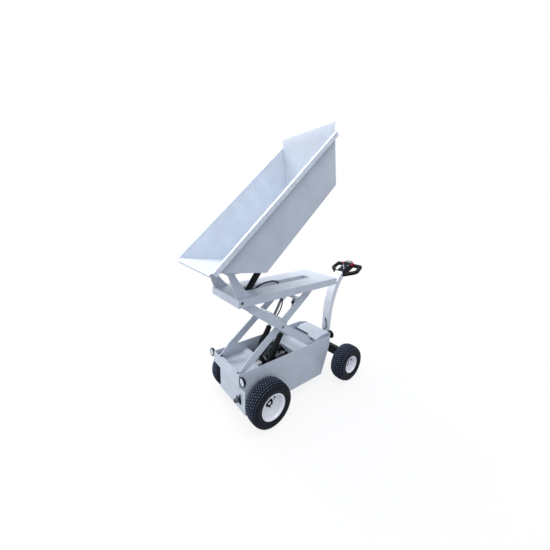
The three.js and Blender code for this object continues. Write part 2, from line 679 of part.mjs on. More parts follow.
// Two closed grip loops on one flat plate.
function gripLoops() {
  const { sink, thickness, length, halfWidth, neck } = HANDLE;
  const rearX = halfWidth - 10;
  const head = new THREE.Shape();
  head.moveTo(neck, -8);
  head.lineTo(halfWidth - 32, 56);
  head.quadraticCurveTo(halfWidth, 80, halfWidth, 118);
  head.lineTo(rearX, length - 18);
  head.quadraticCurveTo(rearX - 2, length, rearX - 22, length);
  head.lineTo(22 - rearX, length);
  head.quadraticCurveTo(2 - rearX, length, -rearX, length - 18);
  head.lineTo(-halfWidth, 118);
  head.quadraticCurveTo(-halfWidth, 80, 32 - halfWidth, 56);
  head.lineTo(-neck, -8);
  const { inner, outer, front, rear } = GRIP_HOLE;
  for (const { sign } of SIDES) {
    const hole = new THREE.Path();
    hole.moveTo(sign * inner, front);
    hole.lineTo(sign * inner, rear);
    hole.lineTo(sign * (outer - 20), rear);
    hole.quadraticCurveTo(sign * outer, rear, sign * outer, rear - 18);
    hole.lineTo(sign * outer, front + 72);
    hole.quadraticCurveTo(sign * outer, front + 56, sign * (outer - 18), front + 44);
    head.holes.push(hole);
  }
  const grip = new THREE.ExtrudeGeometry(head, { depth: thickness, bevelEnabled: false, curveSegments: 6 });
  return grip.translate(0, 0, -thickness - sink);
}

// A bail over the control barrel, on the head's rear edge.
function buttonGuard() {
  const { half, top, from, bar } = GUARD;
  const foot = -HANDLE.sink - 4;
  const bail = new THREE.Shape();
  bail.moveTo(-half, foot);
  bail.lineTo(bar - half, foot);
  bail.lineTo(bar - half + 16, top - bar);
  bail.lineTo(half - bar - 16, top - bar);
  bail.lineTo(half - bar, foot);
  bail.lineTo(half, foot);
  bail.lineTo(half - 20, top);
  bail.lineTo(20 - half, top);
  const geometry = new THREE.ExtrudeGeometry(bail, { depth: bar, bevelEnabled: false });
  return geometry.rotateX(Math.PI / 2).translate(0, from + bar, 0);
}

// ---------------------------------------------------------------- lift
const halfArm = ARM_LENGTH / 2;
const liftTilt = radians(LIFT_ANGLE);
const platformPivotZ = LIFT_FOOT_Z + ARM_LENGTH * Math.sin(liftTilt);

function armOutline(start) {
  const deep = ARM_DEPTH / 2;
  const end = start + ARM_LENGTH;
  const shape = new THREE.Shape();
  shape.moveTo(start, -ARM_TIP);
  shape.lineTo(start + ARM_TAPER, -deep);
  shape.lineTo(end - ARM_TAPER, -deep);
  shape.lineTo(end, -ARM_TIP);
  shape.absarc(end, 0, ARM_TIP, -Math.PI / 2, Math.PI / 2, false);
  shape.lineTo(end - ARM_TAPER, deep);
  shape.lineTo(start + ARM_TAPER, deep);
  shape.lineTo(start, ARM_TIP);
  shape.absarc(start, 0, ARM_TIP, Math.PI / 2, Math.PI * 1.5, false);
  return shape;
}

function armPlate(x, start) {
  return sidePlate(armOutline(start), x - ARM_PLATE / 2, x + ARM_PLATE / 2, 8);
}

function buildLift() {
  const inner = pivot(cart, 'inner_arms', 0, LIFT_FOOT_Y, LIFT_FOOT_Z, liftTilt);
  const bore = (along) => rodX(LIFT_PIN + PIN_GAP, -halfTub, halfTub, along, 0, 20);
  for (const { name, sign } of SIDES) {
    const x = sign * INNER_ARM_X;
    const rollerFrom = x + sign * (ARM_PLATE / 2 - 1);
    const rollerTo = x + sign * (ARM_PLATE / 2 + ROLLER_WIDTH);
    const pinTo = sign * (OUTER_ARM_X + ARM_PLATE / 2 + 6);
    const plate = join(
      cut(armPlate(x, 0), bore(0)),
      rodX(rollerRadius, Math.min(rollerFrom, rollerTo), Math.max(rollerFrom, rollerTo), ARM_LENGTH, 0, 24),
      rodX(LIFT_PIN, Math.min(x, pinTo), Math.max(x, pinTo), halfArm, 0, 20));
    place(inner, `inner_arm_${name}`, plate, 'paint');
  }
  // Cross tubes: one just past the centre pins, one that carries the cylinders' eyes.
  const reach = INNER_ARM_X - ARM_PLATE / 2 - FACE_GAP;
  const eyeY = LIFT_CYLINDER_EYE.along;
  const eyeZ = -LIFT_CYLINDER_EYE.below;
  const lug = (x) => sidePlate([
    [eyeY - 20, eyeZ - 18],
    [eyeY + 14, eyeZ - 20],
    [eyeY + 66, -20],
    [eyeY + 62, 2],
    [eyeY + 34, 6],
    [eyeY - 18, eyeZ + 16],
  ], x - 4, x + 4);
  const lugSpread = LIFT_ROD_EYE.width / 2 + 7;
  const tubes = [rodX(TUBE_RADIUS, -reach, reach, eyeY + 48, -10, 20)];
  for (const { sign } of SIDES) {
    tubes.push(lug(sign * LIFT_CYLINDER_X - lugSpread), lug(sign * LIFT_CYLINDER_X + lugSpread));
  }
  place(inner, 'inner_cross_tube', join(...tubes), 'paint');
  place(inner, 'inner_stay_tube', rodX(TUBE_RADIUS - 3, -reach, reach, STAY.along, STAY.above, 16), 'paint');

  const outer = pivot(inner, 'outer_arms', 0, halfArm, 0, -2 * liftTilt);
  for (const { name, sign } of SIDES) {
    const x = sign * OUTER_ARM_X;
    const rollerFrom = x - sign * (ARM_PLATE / 2 - 1);
    const rollerTo = x - sign * (ARM_PLATE / 2 + ROLLER_WIDTH);
    const plate = join(
      cut(armPlate(x, -halfArm), bore(0), bore(-halfArm)),
      rodX(rollerRadius, Math.min(rollerFrom, rollerTo), Math.max(rollerFrom, rollerTo), halfArm, 0, 24));
    place(outer, `outer_arm_${name}`, plate, 'paint');
  }
  const outerReach = OUTER_ARM_X - ARM_PLATE / 2 - FACE_GAP;
  const outerTube = rodX(TUBE_RADIUS - 2, -outerReach, outerReach, OUTER_TUBE_ALONG, 0, 16);
  place(outer, 'outer_cross_tube', outerTube, 'paint');

  buildPlatform(pivot(outer, 'platform', 0, -halfArm, 0, liftTilt));
}

// A cylinder between two points seen from the side; returns its length and lean.
function lean(from, to) {
  const dy = to.y - from.y;
  const dz = to.z - from.z;
  return { length: Math.hypot(dy, dz), angle: Math.atan2(dz, dy) };
}

// A barrel runs along +Y from its foot eye; its bore stops short of the foot.
function barrelSolid(x, { radius, length, eye }, boreRadius, rodRadius) {
  return cut(
    join(
      rodX(eye.radius, x - eye.width / 2, x + eye.width / 2, 0, 0, 24),
      rod(radius, [x, eye.radius - 6, 0], [x, length, 0], 28)),
    rodX(boreRadius, x - eye.width, x + eye.width, 0, 0, 20),
    rod(rodRadius + PIN_GAP, [x, boreStart(eye), 0], [x, length + 5, 0], 20));
}

function boreStart(eye) {
  return eye.radius + 18;
}

// A rod starts where it still clears the bore's end when the cylinder is closed.
function rodSolid(x, rodRadius, barrel, open, closed, eye) {
  const start = boreStart(barrel.eye) + open - closed + 4 * PIN_GAP;
  return join(
    rod(rodRadius, [x, start, 0], [x, open - eye.radius + 6, 0], 20),
    rodX(eye.radius, x - eye.width / 2, x + eye.width / 2, open, 0, 24));
}

function liftEye(tilt) {
  const along = LIFT_CYLINDER_EYE.along;
  const below = LIFT_CYLINDER_EYE.below;
  return {
    y: LIFT_FOOT_Y + along * Math.cos(tilt) + below * Math.sin(tilt),
    z: LIFT_FOOT_Z + along * Math.sin(tilt) - below * Math.cos(tilt),
  };
}

function buildLiftCylinders() {
  const { length, angle } = lean(LIFT_CYLINDER_FOOT, liftEye(liftTilt));
  const closed = lean(LIFT_CYLINDER_FOOT, liftEye(radians(LOWERED_ANGLE))).length;
  const barrels = pivot(cart, 'lift_barrels', 0, LIFT_CYLINDER_FOOT.y, LIFT_CYLINDER_FOOT.z, angle);
  const rods = pivot(barrels, 'lift_rods', 0, 0, 0);
  for (const { name, sign } of SIDES) {
    const x = sign * LIFT_CYLINDER_X;
    const barrel = barrelSolid(x, LIFT_BARREL, SHAFT_RADIUS + PIN_GAP, LIFT_ROD_RADIUS);
    place(barrels, `lift_barrel_${name}`, barrel, 'black');
    const pushed = rodSolid(x, LIFT_ROD_RADIUS, LIFT_BARREL, length, closed, LIFT_ROD_EYE);
    place(rods, `lift_rod_${name}`, pushed, 'chrome');
  }
}

// ---------------------------------------------------------------- platform
function buildPlatform(platform) {
  const top = PLATFORM_RISE;
  const half = PLATFORM_WIDTH / 2;
  const y0 = PLATFORM_FRONT - LIFT_FOOT_Y;
  const y1 = PLATFORM_REAR - LIFT_FOOT_Y;
  const slot0 = SLOT_FRONT - LIFT_FOOT_Y;
  const slot1 = SLOT_REAR - LIFT_FOOT_Y;
  const sheet = PLATFORM_SHEET;
  const wall = SLOT_WIDTH / 2 + sheet;
  const tray = cut(
    box(-half, half, y0, y1, top - PLATFORM_SKIRT, top),
    box(-half + sheet, half - sheet, y0 + sheet, y1 - sheet, top - PLATFORM_SKIRT - 5, top - sheet));
  const channel = box(-wall, wall, slot0 - sheet, slot1 + sheet, top - CHANNEL_DEPTH, top - 1);
  const slot = box(-SLOT_WIDTH / 2, SLOT_WIDTH / 2, slot0, slot1, top - CHANNEL_DEPTH - 5, top + 5);
  const dumpY = DUMP_FOOT.y - LIFT_FOOT_Y;
  const dumpZ = top - DUMP_FOOT.drop;
  const shaft = rodX(LIFT_PIN, -half + 1, half - 1, 0, 0, 20);
  const dumpPin = rodX(SHAFT_RADIUS, -wall + 1, wall - 1, dumpY, dumpZ, 20);
  place(platform, 'platform_deck', join(cut(join(tray, channel), slot), shaft, dumpPin), 'paint');

  // Hinge uprights lean forward over the platform's front edge.
  const hingeY = HINGE_Y - LIFT_FOOT_Y;
  const hingeZ = top + HINGE_RISE;
  const base = top + FACE_GAP;
  const upright = (x) => {
    const shape = new THREE.Shape();
    shape.moveTo(-225 - LIFT_FOOT_Y, base);
    shape.lineTo(-88 - LIFT_FOOT_Y, base);
    shape.quadraticCurveTo(-178 - LIFT_FOOT_Y, base + 78, hingeY + 24, hingeZ);
    shape.absarc(hingeY, hingeZ, 23, 0, Math.PI, false);
    shape.lineTo(hingeY - 23, hingeZ - 20);
    return cut(
      sidePlate(shape, x - ARM_PLATE / 2, x + ARM_PLATE / 2, 6),
      rodX(LIFT_PIN + PIN_GAP, x - ARM_PLATE, x + ARM_PLATE, hingeY, hingeZ, 20));
  };
  for (const { name, sign } of SIDES) {
    place(platform, `hinge_upright_${name}`, upright(sign * UPRIGHT_X), 'paint');
  }
  buildHopper(pivot(platform, 'hopper', 0, hingeY, hingeZ, radians(TILT_ANGLE)));
  buildDumpCylinder(platform, dumpY, dumpZ, hingeY, hingeZ);
}

function buildDumpCylinder(platform, y, z, hingeY, hingeZ) {
  const eyeAt = (tilt) => ({
    y: hingeY + DUMP_EYE.y * Math.cos(tilt) - DUMP_EYE.z * Math.sin(tilt),
    z: hingeZ + DUMP_EYE.y * Math.sin(tilt) + DUMP_EYE.z * Math.cos(tilt),
  });
  const { length, angle } = lean({ y, z }, eyeAt(radians(TILT_ANGLE)));
  const closed = lean({ y, z }, eyeAt(0)).length;
  const barrel = pivot(platform, 'dump_barrel', 0, y, z, angle);
  place(barrel, 'dump_barrel', barrelSolid(0, DUMP_BARREL, SHAFT_RADIUS + PIN_GAP, DUMP_ROD_RADIUS), 'black');
  const slide = pivot(barrel, 'dump_rod', 0, 0, 0);
  place(slide, 'dump_rod', rodSolid(0, DUMP_ROD_RADIUS, DUMP_BARREL, length, closed, DUMP_ROD_EYE), 'chrome');
}

// ---------------------------------------------------------------- hopper
// All its pieces are laid out level, from the hinge.
function buildHopper(hopper) {
  const rimHalf = HOPPER_RIM_WIDTH / 2;
  const topHalf = rimHalf - RIM_FLANGE;
  const bottomHalf = HOPPER_BOTTOM_WIDTH / 2;
  const rise = RIM_HEIGHT + BOTTOM_DROP;
  const sideLean = (topHalf - bottomHalf) / rise;
  const halfAt = (z) => bottomHalf + (z + BOTTOM_DROP) * sideLean;

  // Each side is a leaning plate with its rim folded out and down.
  for (const { name, sign } of SIDES) {
    const outline = [
      [RIM_FRONT, RIM_HEIGHT],
      [RIM_REAR, RIM_HEIGHT],
      [BOTTOM_REAR, -BOTTOM_DROP],
      [BOTTOM_FRONT, -BOTTOM_DROP],
    ];
    const plate = sidePlate(outline, 0, SHEET);
    const foot = bottomHalf + BOTTOM_DROP * sideLean;
    const shear = new THREE.Matrix4().set(
      1, 0, sign * sideLean, sign > 0 ? foot - SHEET : -foot,
      0, 1, 0, 0,
      0, 0, 1, 0,
      0, 0, 0, 1);
    plate.applyMatrix4(shear);
    const x0 = topHalf - SHEET;
    const folded = (from, depth) => {
      const [near, far] = [sign * from, sign * rimHalf].sort((a, b) => a - b);
      return box(near, far, RIM_FRONT, RIM_REAR, RIM_HEIGHT - depth, RIM_HEIGHT);
    };
    const flange = folded(x0, SHEET);
    const lip = folded(rimHalf - SHEET, RIM_LIP);
    place(hopper, `hopper_side_${name}`, join(plate, flange, lip), 'paint');
  }

  const inside = (z) => halfAt(z) - SHEET - FACE_GAP;
  // A cross sheet spans the sides and narrows with them towards the bottom.
  const crossSheet = (outline, room = inside) => {
    const wide = sidePlate(outline, -rimHalf, rimHalf);
    const keep = new THREE.Shape([
      new THREE.Vector2(-room(RIM_HEIGHT + 100), RIM_HEIGHT + 100),
      new THREE.Vector2(-room(-BOTTOM_DROP - 20), -BOTTOM_DROP - 20),
      new THREE.Vector2(room(-BOTTOM_DROP - 20), -BOTTOM_DROP - 20),
      new THREE.Vector2(room(RIM_HEIGHT + 100), RIM_HEIGHT + 100),
    ]);
    const length = RIM_REAR - RIM_FRONT + 400;
    const prism = new THREE.ExtrudeGeometry(keep, { depth: length, bevelEnabled: false });
    const turn = new THREE.Matrix4().makeBasis(
      new THREE.Vector3(1, 0, 0), new THREE.Vector3(0, 0, 1), new THREE.Vector3(0, -1, 0));
    prism.applyMatrix4(turn).translate(0, RIM_REAR + 200, 0);
    return toGeometry(toManifold(wide).intersect(toManifold(prism)));
  };
  place(hopper, 'hopper_floor', crossSheet([
    [BOTTOM_FRONT + SLOPED_SHEET + FACE_GAP, -BOTTOM_DROP],
    [BOTTOM_REAR - SHEET - FACE_GAP, -BOTTOM_DROP],
    [BOTTOM_REAR - SHEET - FACE_GAP, -BOTTOM_DROP + SHEET],
    [BOTTOM_FRONT + SLOPED_SHEET + FACE_GAP, -BOTTOM_DROP + SHEET],
  ]), 'paint');
  const frontSlope = (RIM_HEIGHT + BOTTOM_DROP) / (BOTTOM_FRONT - RIM_FRONT);
  const frontAt = (y) => -BOTTOM_DROP + (BOTTOM_FRONT - y) * frontSlope;
  const lipFront = RIM_FRONT - RIM_FLANGE;
  place(hopper, 'hopper_front', crossSheet([
    [lipFront, RIM_HEIGHT],
    [lipFront, RIM_HEIGHT - RIM_LIP],
    [lipFront + SHEET, RIM_HEIGHT - RIM_LIP],
    [lipFront + SHEET, RIM_HEIGHT - SHEET],
    [RIM_FRONT + SHEET / frontSlope, RIM_HEIGHT - SHEET],
    [BOTTOM_FRONT, -BOTTOM_DROP],
    [BOTTOM_FRONT + SLOPED_SHEET, -BOTTOM_DROP],
    [RIM_FRONT + SLOPED_SHEET, RIM_HEIGHT],
  ]), 'paint');
  place(hopper, 'hopper_rear', crossSheet([
    [RIM_REAR + BOARD_REAR, RIM_HEIGHT + BOARD_RISE],
    [RIM_REAR + BOARD_REAR - 5, RIM_HEIGHT + BOARD_RISE],
    [RIM_REAR - 5, RIM_HEIGHT],
    [BOTTOM_REAR - 3.5, -BOTTOM_DROP],
    [BOTTOM_REAR + 1, -BOTTOM_DROP],
    [RIM_REAR, RIM_HEIGHT],
  ]), 'paint');

  // Underframe: two bearers and their cross members, which carry the dump cylinder's lugs.
  const under = -BOTTOM_DROP - FACE_GAP;
  const bearerFront = BOTTOM_FRONT + 30;
  const bearerRear = BOTTOM_REAR - 30;
  const cross = (y, width, depth) => {
    const half = width / 2;
    return box(-BEARER_X, BEARER_X, y - half, y + half, under - depth, under);
  };
  const frame = [
    cross(bearerFront + 20, 40, BEARER_DEPTH),
    cross(DUMP_EYE.y, 130, 6),
    cross(bearerRear - 20, 40, BEARER_DEPTH),
  ];
  for (const { sign } of SIDES) {
    const x = sign * BEARER_X;
    frame.push(box(x - 20, x + 20, bearerFront, bearerRear, under - BEARER_DEPTH, under));
    const lug = sign * (DUMP_ROD_EYE.width / 2 + 10);
    frame.push(sidePlate([
      [DUMP_EYE.y - 60, under - 1],
      [DUMP_EYE.y - 20, DUMP_EYE.z - 20],
      [DUMP_EYE.y + 20, DUMP_EYE.z - 20],
      [DUMP_EYE.y + 60, under - 1],
    ], lug - 5, lug + 5));
  }
  place(hopper, 'hopper_underframe', join(...frame), 'paint');

  // The ears turn on the uprights' pins and are welded under the sloping front.
  for (const { name, sign } of SIDES) {
    const ear = sign * (UPRIGHT_X + ARM_PLATE / 2 + 1);
    const earFace = ear + sign * 8;
    const outline = [
      [-24, -8],
      [-8, -24],
      [14, -24],
      [150, frontAt(150) - 1.5],
      [-60, frontAt(-60) - 1.5],
    ];
    const plate = sidePlate(outline, Math.min(ear, earFace), Math.max(ear, earFace));
    const pinEnd = sign * (UPRIGHT_X - ARM_PLATE / 2 - 8);
    const pin = rodX(LIFT_PIN, Math.min(pinEnd, earFace), Math.max(pinEnd, earFace), 0, 0, 20);
    place(hopper, `hopper_ear_${name}`, join(plate, pin), 'paint');
  }
}

// ---------------------------------------------------------------- assembly
buildTub();
buildDecks();
buildPowerUnit();
buildAxle();
buildFittings();
buildFrontWheels();
buildRearAxle();
buildSteering();
buildTiller();
buildLift();
buildLiftCylinders();

// The origin lies on the ground, midway between the cart's front and rear ends.
cart.updateMatrixWorld(true);
const extent = new THREE.Box3().setFromObject(cart);
cart.position.y = -(extent.min.y + extent.max.y) / 2;

export default cart;
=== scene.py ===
import json
from contextlib import contextmanager
from math import atan2, cos, degrees, pi, radians, sin, tau

import bmesh
import bpy
from mathutils import Matrix, Vector

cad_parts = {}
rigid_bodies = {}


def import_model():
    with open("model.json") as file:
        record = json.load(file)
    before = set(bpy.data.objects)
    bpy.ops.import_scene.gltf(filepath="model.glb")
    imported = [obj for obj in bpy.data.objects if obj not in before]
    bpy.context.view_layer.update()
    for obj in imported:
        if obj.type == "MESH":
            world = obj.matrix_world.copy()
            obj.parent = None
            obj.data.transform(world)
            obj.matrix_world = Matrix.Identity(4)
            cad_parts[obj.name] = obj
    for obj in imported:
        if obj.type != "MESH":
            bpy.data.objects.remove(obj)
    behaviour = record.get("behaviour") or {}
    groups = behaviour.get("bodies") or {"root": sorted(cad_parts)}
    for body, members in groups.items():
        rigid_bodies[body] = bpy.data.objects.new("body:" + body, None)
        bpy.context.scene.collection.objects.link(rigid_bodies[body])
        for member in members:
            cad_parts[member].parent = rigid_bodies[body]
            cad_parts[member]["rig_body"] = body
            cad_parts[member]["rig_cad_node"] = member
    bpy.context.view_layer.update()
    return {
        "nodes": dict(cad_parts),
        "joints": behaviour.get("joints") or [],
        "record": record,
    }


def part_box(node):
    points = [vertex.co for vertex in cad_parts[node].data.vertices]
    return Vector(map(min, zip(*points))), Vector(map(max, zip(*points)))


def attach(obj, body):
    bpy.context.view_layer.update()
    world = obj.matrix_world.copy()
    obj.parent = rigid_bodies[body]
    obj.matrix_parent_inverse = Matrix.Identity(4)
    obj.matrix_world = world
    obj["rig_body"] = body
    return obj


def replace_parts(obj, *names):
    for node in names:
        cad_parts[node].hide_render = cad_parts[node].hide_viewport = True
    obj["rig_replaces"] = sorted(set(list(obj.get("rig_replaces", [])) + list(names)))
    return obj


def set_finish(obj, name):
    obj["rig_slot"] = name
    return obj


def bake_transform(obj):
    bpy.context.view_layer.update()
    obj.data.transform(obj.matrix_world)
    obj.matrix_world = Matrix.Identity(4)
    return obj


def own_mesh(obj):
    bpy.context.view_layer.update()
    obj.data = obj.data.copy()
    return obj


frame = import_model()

bl_info = {
    "name": "Electric dump cart",
    "version": (1, 0, 0),
    "blender": (4, 5, 0),
    "location": "View3D > Sidebar > Dump cart",
    "description": "Dresses a packed dump cart with its pieces, finishes and stage",
    "category": "Object",
}

NODES = frame["nodes"]
JOINTS = {joint["name"]: joint for joint in frame["joints"]}
PINS = {name: Vector(joint["pos_m"]) for name, joint in JOINTS.items() if "pos_m" in joint}
BODY_OF = {
    node: body
    for body, nodes in frame["record"]["behaviour"]["bodies"].items()
    for node in nodes
}
SIDES = {"left": 1, "right": -1}

# ---------------------------------------------------------------- places
# Pieces are modelled in millimetres in the frame of what carries them, and then
# placed in metres. The frames below are the ones that the cart's joints give.
MM = 0.001
AXLE_Y = PINS["front_wheel_spin_left"].y
# Turns that take a lathe piece's axis from +Z to +X, to +Y, to -Y, and to +X or -X.
AXIS_X = Matrix.Rotation(pi / 2, 4, "Y")
AXIS_Y = Matrix.Rotation(-pi / 2, 4, "X")
AXIS_FRONT = Matrix.Rotation(pi / 2, 4, "X")
OUTWARD = {1: AXIS_X, -1: Matrix.Rotation(pi, 4, "Z") @ AXIS_X}


def at(x, y, z):
    """A point in metres, from millimetres measured from the front axle and the ground."""
    return Vector((x * MM, AXLE_Y + y * MM, z * MM))


def corners(node):
    """A node's lowest and highest corners, in those millimetres."""
    return [(point - at(0, 0, 0)) / MM for point in map(Vector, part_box(node))]


def frame_at(point, tilt=0.0):
    """The frame of a body that is hinged at a point and leans by tilt degrees about X."""
    return Matrix.Translation(point) @ Matrix.Rotation(radians(tilt), 4, "X")


def shifted(place, x, y, z):
    """A frame moved by millimetres along its own axes."""
    return place @ Matrix.Translation((x * MM, y * MM, z * MM))


def lean(start, end):
    """The angle in degrees of a line seen from the cart's side."""
    return degrees(atan2(end.z - start.z, end.y - start.y))


ARM_LEAN = lean(PINS["lift"], PINS["arm_cross"])
CHASSIS = frame_at(at(0, 0, 0))
INNER = frame_at(PINS["lift"], ARM_LEAN)
OUTER = frame_at(PINS["arm_cross"], -ARM_LEAN)
PLATFORM = frame_at(PINS["platform_level"])
HOPPER = frame_at(PINS["hopper_tip"], -JOINTS["hopper_tip"]["range_deg"][0])   # fully tipped
RIM_LIP_FOOT = 148                            # the lip's lower edge above the hopper's hinge
HEAD = frame_at(at(0, 1273, 1124), 28)        # the tiller's head, level with its grips


def along_stroke(pin, stroke):
    """The frame of a cylinder, along whose +Y its rod slides."""
    _, along_y, along_z = JOINTS[stroke]["axis"]
    return frame_at(PINS[pin], degrees(atan2(along_z, along_y)))


def travel(stroke):
    """How far a rod slides, in millimetres."""
    low, high = JOINTS[stroke]["range_m"]
    return (high - low) / MM


LIFT_CYLINDER = along_stroke("lift_cylinder_swing", "lift_cylinder_stroke")
DUMP_CYLINDER = along_stroke("dump_cylinder_swing", "dump_cylinder_stroke")


# ---------------------------------------------------------------- sizes and colours
def length(name, text, default, low=0.1, high=100.0):
    """A size in millimetres that the panel shows."""
    return bpy.props.FloatProperty(
        name=name, description=text, default=default, min=low, max=high)


def number(name, text, default):
    """A number of like parts that the panel shows."""
    return bpy.props.IntProperty(name=name, description=text, default=default, min=12, max=80)


def colour(name, text, default):
    """An sRGB hex colour that the panel shows."""
    return bpy.props.StringProperty(name=name, description=text, default=default, maxlen=7)


class CartSizes(bpy.types.PropertyGroup):
    """Sizes in millimetres that a user may change."""

    sheet_edge: length("Sheet edge", "Rounding of cut and folded sheet edges, mm", 1.2)
    plate_edge: length("Plate edge", "Rounding of thick plate edges, mm", 2.3)
    moulded_edge: length("Moulded edge", "Rounding of moulded and cast edges, mm", 4.0)
    tread_depth: length("Tread depth", "Height of the turf tread blocks, mm", 7.0, 1.0, 12.0)
    front_blocks: number("Front tread blocks", "Blocks round a front tyre", 54)
    rear_blocks: number("Rear tread blocks", "Blocks round a rear tyre", 52)
    hose: length("Hose", "Outside diameter of a hydraulic hose, mm", 13.0, 4.0, 30.0)
    cable: length("Cable", "Outside diameter of a control cable, mm", 10.0, 2.0, 20.0)


class CartColours(bpy.types.PropertyGroup):
    """Finish colours as sRGB hex values."""

    coat: colour("Body coat", "Powder coat on the sheet metal", "#cdd5df")
    # A lighter coat on the rounded edges of sheet and plate: a painted edge highlight.
    coat_edge: colour("Body coat on edges", "Lighter coat painted on rounded edges as a highlight", "#e6ebf3")
    white: colour("White enamel", "Tiller arm and its head's buttons", "#e9edf4")
    # Whiter than the tiller's white: partly the wheels' own enamel, partly painted light for the
    # brighter light on the dished wheels.
    disc: colour("Wheel white", "Wheel discs", "#fafbff")
    tank: colour("Tank", "Moulded oil tank", "#e4e7e6")
    enamel: colour("Black enamel", "Cylinder barrels, axle and motor", "#0b0d12")
    plastic: colour("Black plastic", "Grips, housings and plugs", "#0d1016")
    rubber: colour("Tyre rubber", "Carcass and sidewalls", "#0a0e17")
    tread: colour("Tread face rubber", "Faces of the tread blocks, paler grey", "#606b82")
    hose: colour("Hose rubber", "Hydraulic hoses and cables", "#0a0b0f")
    zinc: colour("Zinc plate", "Wheel nuts, studs, pins and hose fittings", "#e0e4e9")
    steel: colour("Ground steel", "Piston rods, oiled", "#7d848c")
    dark: colour("Blackened steel", "Bolt heads, shaft collars and cable strip", "#565d68")
    aluminium: colour("Cast aluminium", "Valve block", "#c6cacf")
    red: colour("Red plastic", "Stop buttons", "#d21f35")
    grey: colour("Grey plastic", "Thumb levers and the isolator's body", "#5f666f")
    # The lens colour is a painted reflection of the bright reflector behind it.
    lens: colour("Lamp glass", "Headlight lenses", "#dde6f2")


# ---------------------------------------------------------------- materials
def linear(code):
    """The colour that a shader works in, from an sRGB hex value."""
    parts = [int(code[i:i + 2], 16) / 255 for i in (1, 3, 5)]
    return [p / 12.92 if p <= 0.04045 else ((p + 0.055) / 1.055) ** 2.4 for p in parts] + [1.0]


def shade(code, factor):
    """A hex colour made lighter or darker."""
    parts = [min(255, round(int(code[i:i + 2], 16) * factor)) for i in (1, 3, 5)]
    return "#%02x%02x%02x" % tuple(parts)


def add(owner, kind, *inputs, **others):
    """Adds a node with its settings and links.

    Inputs fill the node's sockets in their order. A capitalised name is another socket, and a
    small one is a setting. A socket takes a value, or another node's output to link.
    """
    tree = owner.node_tree
    node = tree.nodes.new("ShaderNode" + kind)
    fed = list(zip(node.inputs, inputs))
    for key, value in others.items():
        if key.islower():
            setattr(node, key, value)
        else:
            fed.append((node.inputs[key.replace("_", " ")], value))
    for socket, value in fed:
        if isinstance(value, bpy.types.NodeSocket):
            tree.links.new(value, socket)
        else:
            socket.default_value = value
    return node


def emptied(owner):
    """A material or world with its node tree ready to be built."""
    owner.use_nodes = True
    owner.node_tree.nodes.clear()
    return owner


DRIFT_SHARE = 0.75                            # how much of a colour's variation is its patches


def finish(name, base, dark, patch, grain, bump, roughness, spread, **shader):
    """A surface whose colour and gloss drift over patches and whose grain gives it a texture.

    base and dark are its hex colours, patch and grain are sizes in millimetres, bump is the
    grain's height in millimetres, and the roughness drifts by spread to either side.
    """
    material = emptied(bpy.data.materials.new(name))
    place = add(material, "TexCoord").outputs["Object"]
    drift = add(material, "TexNoise", Vector=place, Scale=1 / (patch * MM), Detail=3.0,
                Roughness=0.6)
    grit = add(material, "TexNoise", Vector=place, Scale=1 / (grain * MM), Detail=2.0,
               Roughness=0.55)
    fine = add(material, "Math", grit.outputs["Fac"], 1 - DRIFT_SHARE, operation="MULTIPLY")
    both = add(material, "Math", drift.outputs["Fac"], DRIFT_SHARE, fine.outputs[0],
               operation="MULTIPLY_ADD")
    ramp = add(material, "MapRange", Value=both.outputs[0], From_Min=0.35, From_Max=0.65)
    tint = add(material, "MixRGB", Fac=ramp.outputs[0], Color1=linear(dark), Color2=linear(base))
    gloss = add(material, "MapRange", Value=both.outputs[0], From_Min=0.3, From_Max=0.7,
                To_Min=roughness + spread, To_Max=roughness - spread)
    relief = add(material, "Bump", Height=grit.outputs["Fac"], Distance=bump * MM, Strength=1.0)
    skin = add(material, "BsdfPrincipled", Base_Color=tint.outputs[0], Roughness=gloss.outputs[0],
               Normal=relief.outputs[0], **shader)
    add(material, "OutputMaterial", Surface=skin.outputs[0])
    return material


